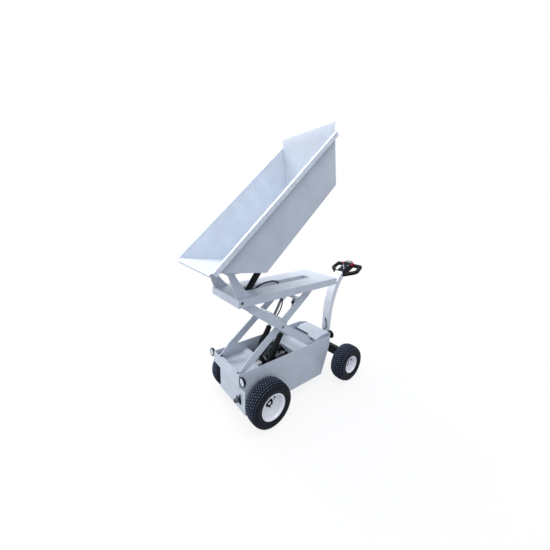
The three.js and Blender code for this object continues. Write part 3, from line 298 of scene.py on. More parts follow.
def make_finishes():
    """All the cart's finishes, by name."""
    c = bpy.context.scene.cart_colours
    return {
        # Polyester powder coat on sheet steel: satin, with the faint orange peel that
        # powder leaves, drawn as 4 mm waves so that it shows.
        "coat": finish("polyester_powder_coat", c.coat, shade(c.coat, 0.95), 140, 4, 0.05,
                       0.42, 0.05, Coat_Weight=0.15, Coat_Roughness=0.25),
        # The same coat made lighter on folded and cut edges: a painted highlight where the rounded
        # edges would catch the light.
        "coat_edge": finish("powder_coat_painted_edge_highlight", c.coat_edge, c.coat, 30, 3, 0.04,
                            0.36, 0.05, Coat_Weight=0.2, Coat_Roughness=0.2),
        # Sprayed white enamel: glossier and smoother than the powder.
        "white": finish("white_stove_enamel", c.white, shade(c.white, 0.95), 90, 3, 0.02,
                        0.3, 0.05, Coat_Weight=0.3, Coat_Roughness=0.15),
        # Baked wheel enamel: a hard white with a wet gloss, painted brighter than the tiller's
        # white to stand in for the extra light that the dished wheels catch.
        "disc": finish("wheel_enamel_painted_brighter", c.disc, shade(c.disc, 0.97), 60, 3, 0.01,
                       0.25, 0.05, Coat_Weight=0.5, Coat_Roughness=0.1),
        # Blow-moulded polyethylene: milky and slightly waxy, with a little light in its depth.
        "tank": finish("polyethylene_tank", c.tank, shade(c.tank, 0.95), 60, 2, 0.04,
                       0.45, 0.05, Subsurface_Weight=0.1, Subsurface_Scale=0.01),
        # Brushed-on black enamel over steel and castings: half gloss, uneven.
        "enamel": finish("black_machinery_enamel", c.enamel, shade(c.enamel, 1.5), 70, 2.5, 0.08,
                         0.4, 0.08, Specular_IOR_Level=0.15),
        # Moulded ABS with a spark-eroded grain, drawn at 1.2 mm.
        "plastic": finish("moulded_abs", c.plastic, shade(c.plastic, 1.3), 50, 1.2, 0.05,
                          0.5, 0.06, Specular_IOR_Level=0.14),
        # Vulcanised rubber with a dry bloom that greys it in patches.
        "rubber": finish("vulcanised_tyre_rubber", c.rubber, shade(c.rubber, 1.5), 35, 1.5, 0.1,
                         0.75, 0.1, Specular_IOR_Level=0.2),
        # The same rubber, paler, drier and rougher, on the tread blocks' outer faces.
        "tread": finish("pale_tread_rubber", c.tread, shade(c.tread, 0.72), 22, 1.5, 0.15,
                        0.85, 0.08, Specular_IOR_Level=0.2),
        # Extruded hose cover, matt and finely dimpled.
        "hose": finish("hose_rubber", c.hose, shade(c.hose, 1.6), 25, 1, 0.05, 0.5, 0.08,
                       Specular_IOR_Level=0.12),
        # Bright zinc plate: fine crystalline grain over a soft metal gloss.
        "zinc": finish("bright_zinc_plate", c.zinc, shade(c.zinc, 0.8), 12, 0.8, 0.02,
                       0.3, 0.08, Metallic=1.0),
        # Ground and oiled rod steel: fine grinding marks that blur its gloss.
        "steel": finish("ground_rod_steel", c.steel, shade(c.steel, 0.85), 40, 1, 0.01,
                        0.3, 0.06, Metallic=1.0),
        # Blackened high-tensile steel, waxy and dull.
        "dark": finish("blackened_steel", c.dark, shade(c.dark, 0.8), 12, 1, 0.03, 0.4, 0.08,
                       Metallic=0.7),
        # Sand-cast aluminium, dull and pebbled.
        "aluminium": finish("cast_aluminium", c.aluminium, shade(c.aluminium, 0.8), 20, 1.2, 0.1,
                            0.42, 0.08, Metallic=1.0),
        # Glossy red ABS.
        "red": finish("red_abs", c.red, shade(c.red, 0.8), 15, 1, 0.02, 0.28, 0.05),
        # Grey ABS for the thumb controls.
        "grey": finish("grey_abs", c.grey, shade(c.grey, 0.88), 15, 1, 0.02, 0.4, 0.05),
        # Clear polycarbonate over a bright reflector, drawn as one pale prismatic face: its pale
        # colour is a painted reflection of the reflector.
        "lens": finish("prismatic_lens_painted_reflection", c.lens, shade(c.lens, 0.8), 6, 3, 0.6, 0.1, 0.04,
                       Coat_Weight=1.0, Coat_Roughness=0.03),
    }


FINISHES = {}


# ---------------------------------------------------------------- modelling by hand
HAIR = 0.001                                  # mm, a radius that merges to a pole
MERGE = 0.02                                  # mm, how near corners of a lathe piece merge
WELD = 0.01                                   # mm, how near corners of a CAD node merge
FLAT = 0.6                                    # degrees that faces made one may differ by


def only(*pieces):
    """Leaves edit mode and selects these pieces alone, the first of them active."""
    if bpy.context.object and bpy.context.object.mode != "OBJECT":
        bpy.ops.object.mode_set(mode="OBJECT")
    bpy.ops.object.select_all(action="DESELECT")
    for piece in pieces:
        piece.hide_set(False)
        piece.select_set(True)
    if pieces:
        bpy.context.view_layer.objects.active = pieces[0]


@contextmanager
def editing(piece):
    """Edit mode on one piece, all of it selected at the start."""
    only(piece)
    bpy.ops.object.mode_set(mode="EDIT")
    bpy.ops.mesh.select_mode(type="VERT")
    bpy.ops.mesh.select_all(action="SELECT")
    yield
    bpy.ops.object.mode_set(mode="OBJECT")


def begin(name, kind, **settings):
    """A primitive to start a piece from, in millimetres."""
    only()
    getattr(bpy.ops.mesh, f"primitive_{kind}_add")(**settings)
    return named(bpy.context.object, name)


def pick(piece, kind, test):
    """Selects, in edit mode, the faces, edges or corners that pass a test."""
    bpy.ops.mesh.select_mode(type=kind)
    bpy.ops.mesh.select_all(action="DESELECT")
    shape = bmesh.from_edit_mesh(piece.data)
    for part in {"VERT": shape.verts, "EDGE": shape.edges, "FACE": shape.faces}[kind]:
        if test(part):
            part.select_set(True)
    shape.select_flush_mode()
    bmesh.update_edit_mesh(piece.data)


def faces_up(face):
    """Whether a face looks up along Z."""
    return face.normal.z > 0.9


def move(x, y, z):
    """The move part of an extrude."""
    return {"value": (x, y, z)}


def extrude(x, y, z):
    """Extrudes what is selected in edit mode, by a move."""
    bpy.ops.mesh.extrude_region_move(TRANSFORM_OT_translate=move(x, y, z))


def face_outwards():
    """Selects the whole of the piece in edit mode and turns its faces out."""
    bpy.ops.mesh.select_all(action="SELECT")
    bpy.ops.mesh.normals_make_consistent(inside=False)


def modify(piece, kind, **settings):
    """Adds a modifier to a piece and applies it."""
    only(piece)
    bpy.ops.object.modifier_add(type=kind)
    modifier = piece.modifiers[-1]
    for key, value in settings.items():
        setattr(modifier, key, value)
    bpy.ops.object.modifier_apply(modifier=modifier.name)
    return piece


def rounded(piece, width, segments=2, angle=32):
    """Rounds a piece's edges; the new faces take its second finish, which on coated sheet and plate
    is a painted edge highlight.
    """
    return modify(piece, "BEVEL", width=width, segments=segments, limit_method="ANGLE",
                  angle_limit=radians(angle), use_clamp_overlap=True, miter_outer="MITER_ARC",
                  material=1 if len(piece.data.materials) > 1 else -1)


def lathed(name, steps, sides=64):
    """A piece turned about Z: a circle extruded and resized through its (radius, height) steps.

    It closes at radius 0, or where the last step repeats the first.
    """
    radius, height = max(steps[0][0], HAIR), steps[0][1]
    piece = begin(name, "circle", vertices=sides, radius=radius, location=(0, 0, height))
    with editing(piece):
        for next_radius, next_height in steps[1:]:
            next_radius = max(next_radius, HAIR)
            extrude(0, 0, next_height - height)
            factor = next_radius / radius
            bpy.ops.transform.resize(value=(factor, factor, 1), center_override=(0, 0, next_height))
            radius, height = next_radius, next_height
        bpy.ops.mesh.select_all(action="SELECT")
        bpy.ops.mesh.remove_doubles(threshold=MERGE)
        face_outwards()
    return piece


def sleeve(name, bore, radius, low, high, chamfer, sides):
    """A lathe piece with a bore and chamfered outer edges."""
    return lathed(name, [
        (bore, low), (radius - chamfer, low), (radius, low + chamfer), (radius, high - chamfer),
        (radius - chamfer, high), (bore, high), (bore, low),
    ], sides)


def drawn(name, outline, thickness):
    """A plate: its outline drawn corner by corner, filled, and extruded up from Z = 0."""
    piece = begin(name, "plane", size=1, location=(*outline[0], 0))
    with editing(piece):
        bpy.ops.mesh.merge(type="CENTER")
        for (x0, y0), (x1, y1) in zip(outline, outline[1:]):
            bpy.ops.mesh.extrude_vertices_move(TRANSFORM_OT_translate=move(x1 - x0, y1 - y0, 0))
        bpy.ops.mesh.select_all(action="SELECT")
        bpy.ops.mesh.edge_face_add()
        extrude(0, 0, thickness)
        face_outwards()
    return piece


def block(name, low, high):
    """A box from its low corner to its high one, as a start for a moulded or cast piece."""
    low, high = Vector(low), Vector(high)
    return begin(name, "cube", size=1, location=(low + high) / 2, scale=high - low)


def ring(copies):
    """Repeats the whole of the piece in edit mode, evenly round the Z axis."""
    bpy.ops.mesh.select_all(action="SELECT")
    bpy.ops.mesh.spin(steps=copies - 1, dupli=True, angle=tau * (copies - 1) / copies,
                      center=(0, 0, 0), axis=(0, 0, 1))


def fixed(piece):
    """Puts a piece's place, turn and size into its mesh."""
    only(piece)
    bpy.ops.object.transform_apply(location=True, rotation=True, scale=True)
    return piece


def moved(piece, change):
    """Moves, turns or scales a piece by a matrix, and fixes it there."""
    bpy.context.view_layer.update()
    piece.matrix_world = change @ piece.matrix_world
    return fixed(piece)


def settled(piece, place):
    """Puts a piece modelled in millimetres at its place in metres."""
    return moved(piece, place @ Matrix.Scale(MM, 4))


def named(piece, name):
    """Names a piece and its mesh."""
    piece.name = piece.data.name = name
    return piece


def copied(piece, name):
    """A copy of a piece with its own mesh, and with none of the frame's own marks."""
    only(piece)
    bpy.ops.object.duplicate()
    twin = named(bpy.context.object, name)
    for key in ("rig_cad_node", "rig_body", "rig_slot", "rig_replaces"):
        if key in twin:
            del twin[key]
    twin.parent = None
    return twin


def joined(name, *pieces):
    """Several pieces made one mesh."""
    only(*pieces)
    bpy.ops.object.join()
    return named(bpy.context.object, name)


def coated(piece, *finishes):
    """Gives a piece its finishes."""
    piece.data.materials.clear()
    for name in finishes:
        piece.data.materials.append(FINISHES[name])
    return piece


def smooth(piece, angle=35):
    """Smooth shading, broken where the surface turns sharply."""
    only(piece)
    bpy.ops.object.shade_smooth_by_angle(angle=radians(angle))
    return piece


def bar(name, low, high, edge=2.0, segments=2):
    """A box with rounded edges."""
    return rounded(block(name, low, high), edge, segments)


def routed(points, parts=8):
    """Points in metres on a smooth curve through route points given in millimetres.

    Each stretch is a Catmull-Rom curve, which also needs the points on either side of it.
    """
    points = [at(*point) for point in points]
    padded = [2 * points[0] - points[1], *points, 2 * points[-1] - points[-2]]
    line = [points[0]]
    for before, start, stop, after in zip(padded, padded[1:], padded[2:], padded[3:]):
        for i in range(1, parts + 1):
            t = i / parts
            line.append(0.5 * (
                2 * start + (stop - before) * t
                + (2 * before - 5 * start + 4 * stop - after) * t ** 2
                + (3 * start - before - 3 * stop + after) * t ** 3))
    return line


def piped(name, line, diameter):
    """A round tube along a line of points, as a mesh; the diameter is in millimetres."""
    only()
    curve = bpy.data.curves.new(name, "CURVE")
    curve.dimensions = "3D"
    curve.bevel_depth = diameter * MM / 2
    curve.bevel_resolution = 3
    curve.use_fill_caps = True
    spline = curve.splines.new("POLY")
    spline.points.add(len(line) - 1)
    for point, place in zip(spline.points, line):
        point.co = (*place, 1)
    piece = bpy.data.objects.new(name, curve)
    bpy.context.scene.collection.objects.link(piece)
    only(piece)
    bpy.ops.object.convert(target="MESH")
    bpy.ops.object.shade_smooth()
    return named(bpy.context.object, name)


def hexagon(name, radius, height, washer=0.0):
    """A bolt head or nut standing on Z = 0, with a washer under it and a chamfered top."""
    head = begin(name, "cylinder", vertices=6, radius=radius, depth=height,
                 location=(0, 0, washer + height / 2))
    with editing(head):
        pick(head, "FACE", faces_up)
        bpy.ops.mesh.bevel(offset=radius * 0.14, segments=1, affect="EDGES")
    if washer:
        edge = min(0.6, washer * 0.3)
        wide = radius * 1.35
        disc = lathed("washer", [
            (0, 0), (wide, 0), (wide, washer - edge), (wide - edge, washer), (0, washer),
        ], 24)
        head = joined(name, head, disc)
    return head


def carried(piece, body, slot, *nodes):
    """Hands a finished piece over: what it rides on, its slot and the nodes that it replaces."""
    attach(piece, body)
    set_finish(piece, slot)
    if nodes:
        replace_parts(piece, *nodes)
    return piece


def fitted(piece, finish_name, body, slot, *nodes, angle=30):
    """Smooths and coats a piece that stands in its place, and hands it over."""
    return carried(coated(smooth(piece, angle), finish_name), body, slot, *nodes)


def arrayed(master, name, places):
    """Copies of a piece in millimetres, one at each of its places, made one piece."""
    pieces = [settled(copied(master, name), place) for place in places]
    bpy.data.objects.remove(master)
    return joined(name, *pieces)


def welded_copy(node, name):
    """A CAD node's mesh as whole faces, for rounding."""
    piece = copied(NODES[node], name)
    with editing(piece):
        bpy.ops.mesh.remove_doubles(threshold=WELD * MM)
        bpy.ops.mesh.dissolve_limited(angle_limit=radians(FLAT))
    return piece


def dressed(node, finishes, slot, edge, segments=2):
    """Replaces a CAD node with a copy that has real, rounded edges; edge is in millimetres."""
    piece = coated(welded_copy(node, node + "_formed"), *finishes)
    rounded(piece, edge * MM, segments)
    smooth(piece)
    modify(piece, "WEIGHTED_NORMAL", keep_sharp=True, weight=80)
    return carried(piece, BODY_OF[node], slot, node)


# ---------------------------------------------------------------- operators
class CART_OT_plain_steel(bpy.types.Operator):
    """Finishes the shafts and tubes that keep the form that they come with"""

    bl_idname = "cart.plain_steel"
    bl_label = "Shafts and tubes"

    def execute(self, context):
        coated(NODES["cylinder_foot_shaft"], "zinc")
        for node in ("arm_foot_shaft", "inner_stay_tube", "outer_cross_tube"):
            coated(NODES[node], "coat")
        return {"FINISHED"}


class CART_OT_sheet_metal(bpy.types.Operator):
    """Rounds the folded and cut edges of the tub, decks, platform and hopper"""

    bl_idname = "cart.sheet_metal"
    bl_label = "Sheet metal"

    def execute(self, context):
        edge = context.scene.cart_sizes.sheet_edge
        for node in (
            "tub_side_left", "tub_side_right", "tub_pan", "tub_rear", "front_deck", "rear_deck",
            "rear_cover", "platform_deck", "hopper_side_left", "hopper_side_right",
            "hopper_floor", "hopper_front", "hopper_rear", "hopper_underframe",
        ):
            # Their rounded edges take the lighter coat, a painted edge highlight.
            piece = dressed(node, ("coat", "coat_edge"), "paint", edge)
            # The hopper sides' rim lips get a painted highlight.
            if node.startswith("hopper_side"):
                self.highlight_rim_lip(piece)
        return {"FINISHED"}

    @staticmethod
    def highlight_rim_lip(side):
        """The rim lip's outer faces take the lighter edge coat: a painted highlight for the light
        that the tilted lip catches.
        """
        to_hopper = HOPPER.inverted()
        for face in side.data.polygons:
            outward = face.normal.x * face.center.x > 0 and abs(face.normal.x) > 0.7
            # These outer lip faces take the painted highlight coat.
            if outward and (to_hopper @ face.center).z > RIM_LIP_FOOT * MM:
                face.material_index = 1


class CART_OT_lift_arms(bpy.types.Operator):
    """Rounds the lift arms' plates, tubes, hinge uprights and hopper ears"""

    bl_idname = "cart.lift_arms"
    bl_label = "Lift arms"

    def execute(self, context):
        edge = context.scene.cart_sizes.plate_edge
        for node in (
            "inner_arm_left", "inner_arm_right", "outer_arm_left", "outer_arm_right",
            "inner_cross_tube", "hinge_upright_left", "hinge_upright_right",
            "hopper_ear_left", "hopper_ear_right",
        ):
            # Their rounded edges take the lighter coat, a painted edge highlight.
            dressed(node, ("coat", "coat_edge"), "paint", edge)
        return {"FINISHED"}


# Cylinder sizes in millimetres: the barrel's radius, its end's distance from the foot pin, the
# foot eye's radius and width, the rod's radius, the rod eye's radius and width, and the stroke.
LIFT_RAM = {"radius": 27, "length": 430, "eye": 25, "eye_width": 36, "rod": 14,
            "rod_eye": 17, "rod_eye_width": 30, "stroke": travel("lift_cylinder_stroke")}
DUMP_RAM = {"radius": 29, "length": 420, "eye": 27, "eye_width": 44, "rod": 16,
            "rod_eye": 19, "rod_eye_width": 34, "stroke": travel("dump_cylinder_stroke")}
BORE_FLOOR = 15                               # the bore's floor, beyond the foot eye
ROD_CLEARANCE = 2                             # between that floor and a rod drawn right in
FOOT_PIN = 13.5                               # the foot eye's bore, radius
PORT_PLACE = 48                               # the hose's port, from the foot pin
PIN_REACH = 12                                # how far a rod's pin stands out of its eye


class CART_OT_cylinders(bpy.types.Operator):
    """Makes the cylinders' barrels with their gland nuts and ports, and their rods"""

    bl_idname = "cart.cylinders"
    bl_label = "Cylinders"

    def execute(self, context):
        for side, sign in SIDES.items():
            low, high = corners(f"lift_barrel_{side}")
            place = shifted(LIFT_CYLINDER, (low.x + high.x) / 2, 0, 0)
            self.barrel(f"lift_barrel_{side}", LIFT_RAM, place, "lift_barrels", -sign)
            self.rod(f"lift_rod_{side}", LIFT_RAM, place, "lift_rods")
        self.barrel("dump_barrel", DUMP_RAM, DUMP_CYLINDER, "dump_barrel", -1)
        self.rod("dump_rod", DUMP_RAM, DUMP_CYLINDER, "dump_rod")
        return {"FINISHED"}

    @staticmethod
    def barrel(node, ram, place, body, port_side):
        """The bored tube with its weld bead and gland nut, the foot eye and the hose's port."""
        radius, end, eye = ram["radius"], ram["length"], ram["eye"]
        bore = ram["rod"] + 0.5
        floor = eye + BORE_FLOOR
        tube = lathed("tube", [
            (0, eye - 4), (radius - 6, eye - 3), (radius, eye + 5), (radius, end - 42),
            (radius + 0.8, end - 41), (radius + 0.8, end - 38), (radius, end - 37),
            (radius, end - 26), (radius - 2, end - 25), (radius - 2, end - 23),
            (radius + 1, end - 21), (radius + 1, end - 4), (radius - 1.5, end - 0.5),
            (bore + 4, end - 0.5), (bore + 3, end - 3), (bore, end - 3), (bore, floor), (0, floor),
        ], 48)
        settled(tube, place @ AXIS_Y)
        half = ram["eye_width"] / 2
        boss = settled(sleeve("boss", FOOT_PIN, eye, -half, half, 2, 40), place @ AXIS_X)
        port = lathed("port", [(0, 0), (10, 0), (10, 5), (8, 7), (8, 12), (0, 12)], 24)
        reach = port_side * (radius - 2)
        settled(port, shifted(place, reach, PORT_PLACE, 0) @ OUTWARD[port_side])
        turned = joined(node + "_turned", tube, boss, port)
        fitted(turned, "enamel", body, "black_paint", node, angle=32)

    @staticmethod
    def rod(node, ram, place, body):
        """The ground rod, its eye and the pin through it."""
        radius, eye = ram["rod"], ram["rod_eye"]
        # The rod eye's pin is where the rod's box ends, less the eye's own radius.
        _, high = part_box(node)
        pin_place = Vector((place.translation.x, high.y - eye * MM, high.z - eye * MM))
        reach = place.inverted() @ pin_place
        end = Vector((0, reach.y, reach.z)).length / MM
        start = ram["eye"] + BORE_FLOOR + ROD_CLEARANCE + ram["stroke"]
        rod = lathed(node + "_ground", [
            (0, start), (radius - 1, start), (radius, start + 1), (radius, end - eye - 8),
            (radius - 1.5, end - eye - 6), (radius - 1.5, end - eye + 2), (0, end - eye + 2),
        ], 40)
        settled(rod, place @ AXIS_Y)
        fitted(rod, "steel", body, "chrome", node, angle=32)
        half = ram["rod_eye_width"] / 2
        at_pin = shifted(place, 0, end, 0) @ AXIS_X
        boss = settled(sleeve(node + "_eye", 10, eye, -half, half, 1.5, 36), at_pin)
        fitted(boss, "enamel", body, "black_paint")
        tip = half + PIN_REACH
        pin = lathed(node + "_pin", [
            (0, -tip), (9, -tip), (9.6, 1 - tip), (9.6, tip - 1), (9, tip), (0, tip),
        ], 24)
        fitted(settled(pin, at_pin), "zinc", body, "steel")


def wheel_sizes(axle, **sizes):
    """A wheel's sizes, with its radius, half width and flange's radius from its solids."""
    tyre_low, tyre_high = corners(f"{axle}_tyre_left")
    rim_low, rim_high = corners(f"{axle}_rim_left")
    sizes["radius"] = (tyre_high.z - tyre_low.z) / 2
    sizes["half"] = (tyre_high.x - tyre_low.x) / 2
    sizes["flange"] = (rim_high.z - rim_low.z) / 2
    return sizes


# Wheel sizes in millimetres: the bead's radius, the dish's height from the wheel's middle, the
# hub's radius, the bolt circle's radius, and the valve's angle in degrees from straight below.
WHEELS = {
    "front": wheel_sizes("front", bead=108, dish=5, hub=37, bolts=53, valve=164),
    "rear": wheel_sizes("rear", bead=82, dish=10, hub=27, bolts=41, valve=176),
}
BEAD_INSET = 12                               # the bead's face from the tyre's side
FULLNESS = 2.4                                # a tyre's section: 2 is an ellipse, more is squarer
CROWN_RINGS = (0.2, 0.4, 0.58, 0.7, 0.8, 0.88, 0.94, 0.975)     # shares of the half width
TREAD_COLUMNS = (-0.81, -0.54, -0.27, 0.0, 0.27, 0.54, 0.81)    # the same
BLOCK_WIDTH = 0.155                           # the same, of one tread block
BLOCK_LENGTH = 0.56                           # share of the pitch round the tyre
BLOCK_ROOT = 2                                # how deep a block sits in the carcass
NUT_TURN = 14                                 # degrees, the first nut from straight below


class CART_OT_tyres(bpy.types.Operator):
    """Makes the turf tyres: carcass, sidewall rings and staggered tread blocks"""

    bl_idname = "cart.tyres"
    bl_label = "Tyres"

    def execute(self, context):
        sizes = context.scene.cart_sizes
        for axle, wheel in WHEELS.items():
            master = coated(self.carcass(wheel, sizes.tread_depth), "rubber", "tread")
            blocks = sizes.front_blocks if axle == "front" else sizes.rear_blocks
            tread = coated(self.tread(wheel, sizes.tread_depth, blocks), "rubber", "tread")
            # The blocks' faces, which look away from the axle, take the paler rubber.
            for face in tread.data.polygons:
                outward = Vector((face.center.x, face.center.y, 0)).normalized()
                face.material_index = 1 if face.normal.dot(outward) > 0.55 else 0
            master = smooth(joined("turf_tyre", master, tread), 40)
            for side, sign in SIDES.items():
                tyre = copied(master, f"{axle}_tyre_{side}_moulded")
                settled(tyre, frame_at(PINS[f"{axle}_wheel_spin_{side}"]) @ OUTWARD[sign])
                carried(tyre, f"{axle}_wheel_{side}", "tyre", f"{axle}_tyre_{side}")
            bpy.data.objects.remove(master)
        return {"FINISHED"}

    @staticmethod
    def crown(wheel, across):
        """The tyre's radius at a distance across from its middle: a rounded, full section."""
        height = (wheel["radius"] - wheel["flange"]) * 0.5
        share = min(1.0, abs(across) / wheel["half"])
        return wheel["radius"] - height + height * (1 - share ** FULLNESS) ** (1 / FULLNESS)

    @classmethod
    def carcass(cls, wheel, depth):
        """The tyre below its tread: crown, sidewalls with their two raised rings, and beads."""
        half, flange = wheel["half"], wheel["flange"]
        wall = wheel["radius"] - flange
        bead_face = half - BEAD_INSET
        over = [(cls.crown(wheel, share * half) - depth * (1 - share ** 4), share * half)
                for share in CROWN_RINGS]
        side = over + [
            (flange + wall * 0.62, half), (flange + wall * 0.6, half * 0.985),
            (flange + wall * 0.45, half), (flange + wall * 0.28, half * 0.985),
            (flange + wall * 0.26, half * 0.965), (flange + wall * 0.1, half * 0.92),
            (flange + 1, bead_face + 1), (flange - 6, bead_face),
            (wheel["bead"] + 0.3, bead_face - 2),
        ]
        steps = [(radius, -across) for radius, across in reversed(side)] + side
        return lathed("carcass", steps + steps[:1], 96)

    @classmethod
    def tread(cls, wheel, depth, blocks):
        """Staggered columns of blocks that follow the crown, their roots in the carcass."""
        half = wheel["half"]
        pitch = tau / blocks
        height = depth + BLOCK_ROOT
        size = (height, pitch * wheel["radius"] * BLOCK_LENGTH, half * BLOCK_WIDTH)
        step = 2                              # either side of a block, to find the crown's slope
        columns = []
        for column, share in enumerate(TREAD_COLUMNS):
            middle = share * half
            top = cls.crown(wheel, middle)
            rise = cls.crown(wheel, middle + step) - cls.crown(wheel, middle - step)
            tile = fixed(begin(
                "tread_block", "cube", size=1, location=(top - height / 2, 0, middle),
                scale=size, rotation=(0, -atan2(rise, 2 * step), 0)))
            with editing(tile):
                pick(tile, "FACE", lambda face: face.normal.x > 0.6)
                bpy.ops.mesh.bevel(offset=1.2, segments=1, affect="EDGES")
                pick(tile, "FACE", lambda face: face.normal.x < -0.6)
                bpy.ops.mesh.delete(type="FACE")
                bpy.ops.mesh.select_all(action="SELECT")
                bpy.ops.transform.rotate(value=(column % 2) * pitch / 2, orient_axis="Z",
                                         center_override=(0, 0, 0))
                ring(blocks)
            columns.append(tile)
        return joined("tread", *columns)


class CART_OT_rims(bpy.types.Operator):
    """Makes the wheel discs with their deep dish, hubs, nuts and valves"""

    bl_idname = "cart.rims"
    bl_label = "Wheel discs"

    def execute(self, context):
        # Each part: the function that makes it, its finish and slot, and its smoothing angle.
        parts = (
            ("disc", self.disc, "disc", "white_paint", 40),
            ("hub", self.hub, "enamel", "black_paint", 30),
            ("nuts", self.nuts, "zinc", "steel", 30),
            ("axle_nut", self.axle_nut, "zinc", "steel", 30),
            ("valve", self.valve, "plastic", "black_plastic", 30),
        )
        for axle, wheel in WHEELS.items():
            masters = [make(wheel) for _, make, _, _, _ in parts]
            for side, sign in SIDES.items():
                place = frame_at(PINS[f"{axle}_wheel_spin_{side}"]) @ OUTWARD[sign]
                for master, (part, _, finish_name, slot, angle) in zip(masters, parts):
                    piece = settled(copied(master, f"{axle}_wheel_{part}_{side}"), place)
                    nodes = [f"{axle}_rim_{side}"] if part == "disc" else []
                    fitted(piece, finish_name, f"{axle}_wheel_{side}", slot, *nodes, angle=angle)
            for master in masters:
                bpy.data.objects.remove(master)
        return {"FINISHED"}

    @staticmethod
    def disc(wheel):
        """The pressed disc and its rim, with both flanges and the well between them."""
        bead, flange, hub, dish = wheel["bead"], wheel["flange"], wheel["hub"], wheel["dish"]
        face = wheel["half"] - BEAD_INSET + 0.3
        edge = face + 5
        flat = wheel["bolts"] + 11
        steps = [
            (hub - 8, dish - 1), (hub + 2, dish), (flat, dish), (flat + 3, dish + 2),
            (bead - 20, dish + 14), (bead - 11, dish + 24), (bead - 9, dish + 27),
            (bead - 6, 46), (bead - 4, face - 4),
            (bead + 2, edge - 2), (flange - 3, edge), (flange, edge - 1.5), (flange, face + 1),
            (flange - 3, face), (bead + 3, face), (bead, face - 3), (bead, 20), (bead - 16, 8),
            (bead - 16, -30), (bead, -40), (bead, 3 - face), (bead + 3, -face),
            (flange - 3, -face), (flange, -face - 1), (flange, 1.5 - edge), (flange - 3, -edge),
            (bead + 2, 2 - edge), (bead - 4, 4 - face), (bead - 4, -42), (bead - 20, -32),
            (bead - 20, dish - 2), (flat + 1, dish - 5), (hub - 8, dish - 5), (hub - 8, dish - 1),
        ]
        return lathed("wheel_disc", steps, 72)

    @staticmethod
    def hub(wheel):
        """The hub's flange and its crown of castellations, round the axle's end."""
        hub, base = wheel["hub"], wheel["dish"]
        core = lathed("hub", [
            (0, base - 38), (hub - 9, base - 38), (hub - 9, base - 6), (hub, base + 0.4),
            (hub, base + 5), (hub - 2, base + 7), (hub * 0.62, base + 7), (hub * 0.6, base + 3),
            (0, base + 3),
        ], 48)
        castle = block("castellations", (hub * 0.62, -hub * 0.17, base + 4),
                       (hub - 2, hub * 0.17, base + 14))
        with editing(castle):
            pick(castle, "FACE", faces_up)
            bpy.ops.mesh.bevel(offset=1.5, segments=2, affect="EDGES")
            ring(6)
        return joined("hub", core, castle)

    @staticmethod
    def stud_nut(radius, depth, place, inset, chamfer):
        """A hexagon nut with the chamfered end of its stud through it."""
        nut = begin("nut", "cylinder", vertices=6, radius=radius, depth=depth, location=place)
        with editing(nut):
            pick(nut, "FACE", faces_up)
            bpy.ops.mesh.inset(thickness=inset)
            extrude(0, 0, 5)
            bpy.ops.mesh.bevel(offset=chamfer, segments=1, affect="EDGES")
        return nut

    @classmethod
    def nuts(cls, wheel):
        """Four wheel nuts on their studs."""
        nut = cls.stud_nut(8, 8, (wheel["bolts"], 0, wheel["dish"] + 4), 2.8, 1)
        with editing(nut):
            ring(4)
        return moved(nut, Matrix.Rotation(radians(NUT_TURN), 4, "Z"))

    @classmethod
    def axle_nut(cls, wheel):
        """The axle's threaded end with its crown nut, in the middle of the hub."""
        radius = wheel["hub"] * 0.42
        return cls.stud_nut(radius, 7, (0, 0, wheel["dish"] + 6.5), radius * 0.35, 1.2)

    @staticmethod
    def valve(wheel):
        """The snap-in tyre valve on the disc's sloping wall, with its cap."""
        stem = lathed("valve", [
            (0, 0), (7.5, 0), (7.5, 11), (5, 16), (4.4, 32), (5, 33), (5, 42), (3.6, 44), (0, 44),
        ], 16)
        around = Matrix.Rotation(radians(wheel["valve"]), 4, "Z")
        foot = Matrix.Translation((wheel["bead"] - 15, 0, wheel["dish"] + 18))
        inwards = Matrix.Rotation(radians(-24), 4, "Y")
        return moved(stem, around @ foot @ inwards)


class CART_OT_axles(bpy.types.Operator):
    """Rounds the driven axle, the rear beam, the knuckles and the track rod"""

    bl_idname = "cart.axles"
    bl_label = "Axles"

    def execute(self, context):
        sizes = context.scene.cart_sizes
        for node in ("transaxle", "rear_axle_beam", "knuckle_left", "knuckle_right"):
            dressed(node, ("enamel",), "black_paint", sizes.plate_edge)
        dressed("tie_rod", ("zinc",), "steel", sizes.sheet_edge)
        for side in SIDES:
            _, top = corners(f"knuckle_{side}")
            pivot = PINS[f"knuckle_steer_{side}"]
            place = frame_at(Vector((pivot.x, pivot.y, top.z * MM)))
            nut = settled(hexagon(f"kingpin_nut_{side}", 13, 9), place)
            fitted(nut, "zinc", f"knuckle_{side}", "steel")
        return {"FINISHED"}


class CART_OT_tiller(bpy.types.Operator):
    """Rounds the tiller arm's box section and fits its plug and its cable's grommet"""

    bl_idname = "cart.tiller"
    bl_label = "Tiller arm"

    def execute(self, context):
        arm = dressed("tiller_arm", ("white", "enamel"), "white_paint", 5.0, 3)
        # The crank and the pin below the beam are black.
        for face in arm.data.polygons:
            face.material_index = 1 if face.center.z < PINS["tiller_steer"].z else 0
        # On the arm's front face: name, y, z, radius, and the face's lean in degrees.
        for name, y, z, radius, face_lean in (
            ("tiller_top_plug", 1268, 1091, 9.5, 56),
            ("tiller_cable_grommet", 1084, 574, 7, 88),
        ):
            plug = lathed(name, [
                (0, -4), (radius, -4), (radius, 1), (radius - 1.5, 2.4), (0, 2.4),
            ], 24)
            settled(plug, frame_at(at(0, y, z), face_lean))
            fitted(plug, "plastic", "tiller", "black_plastic")
        return {"FINISHED"}


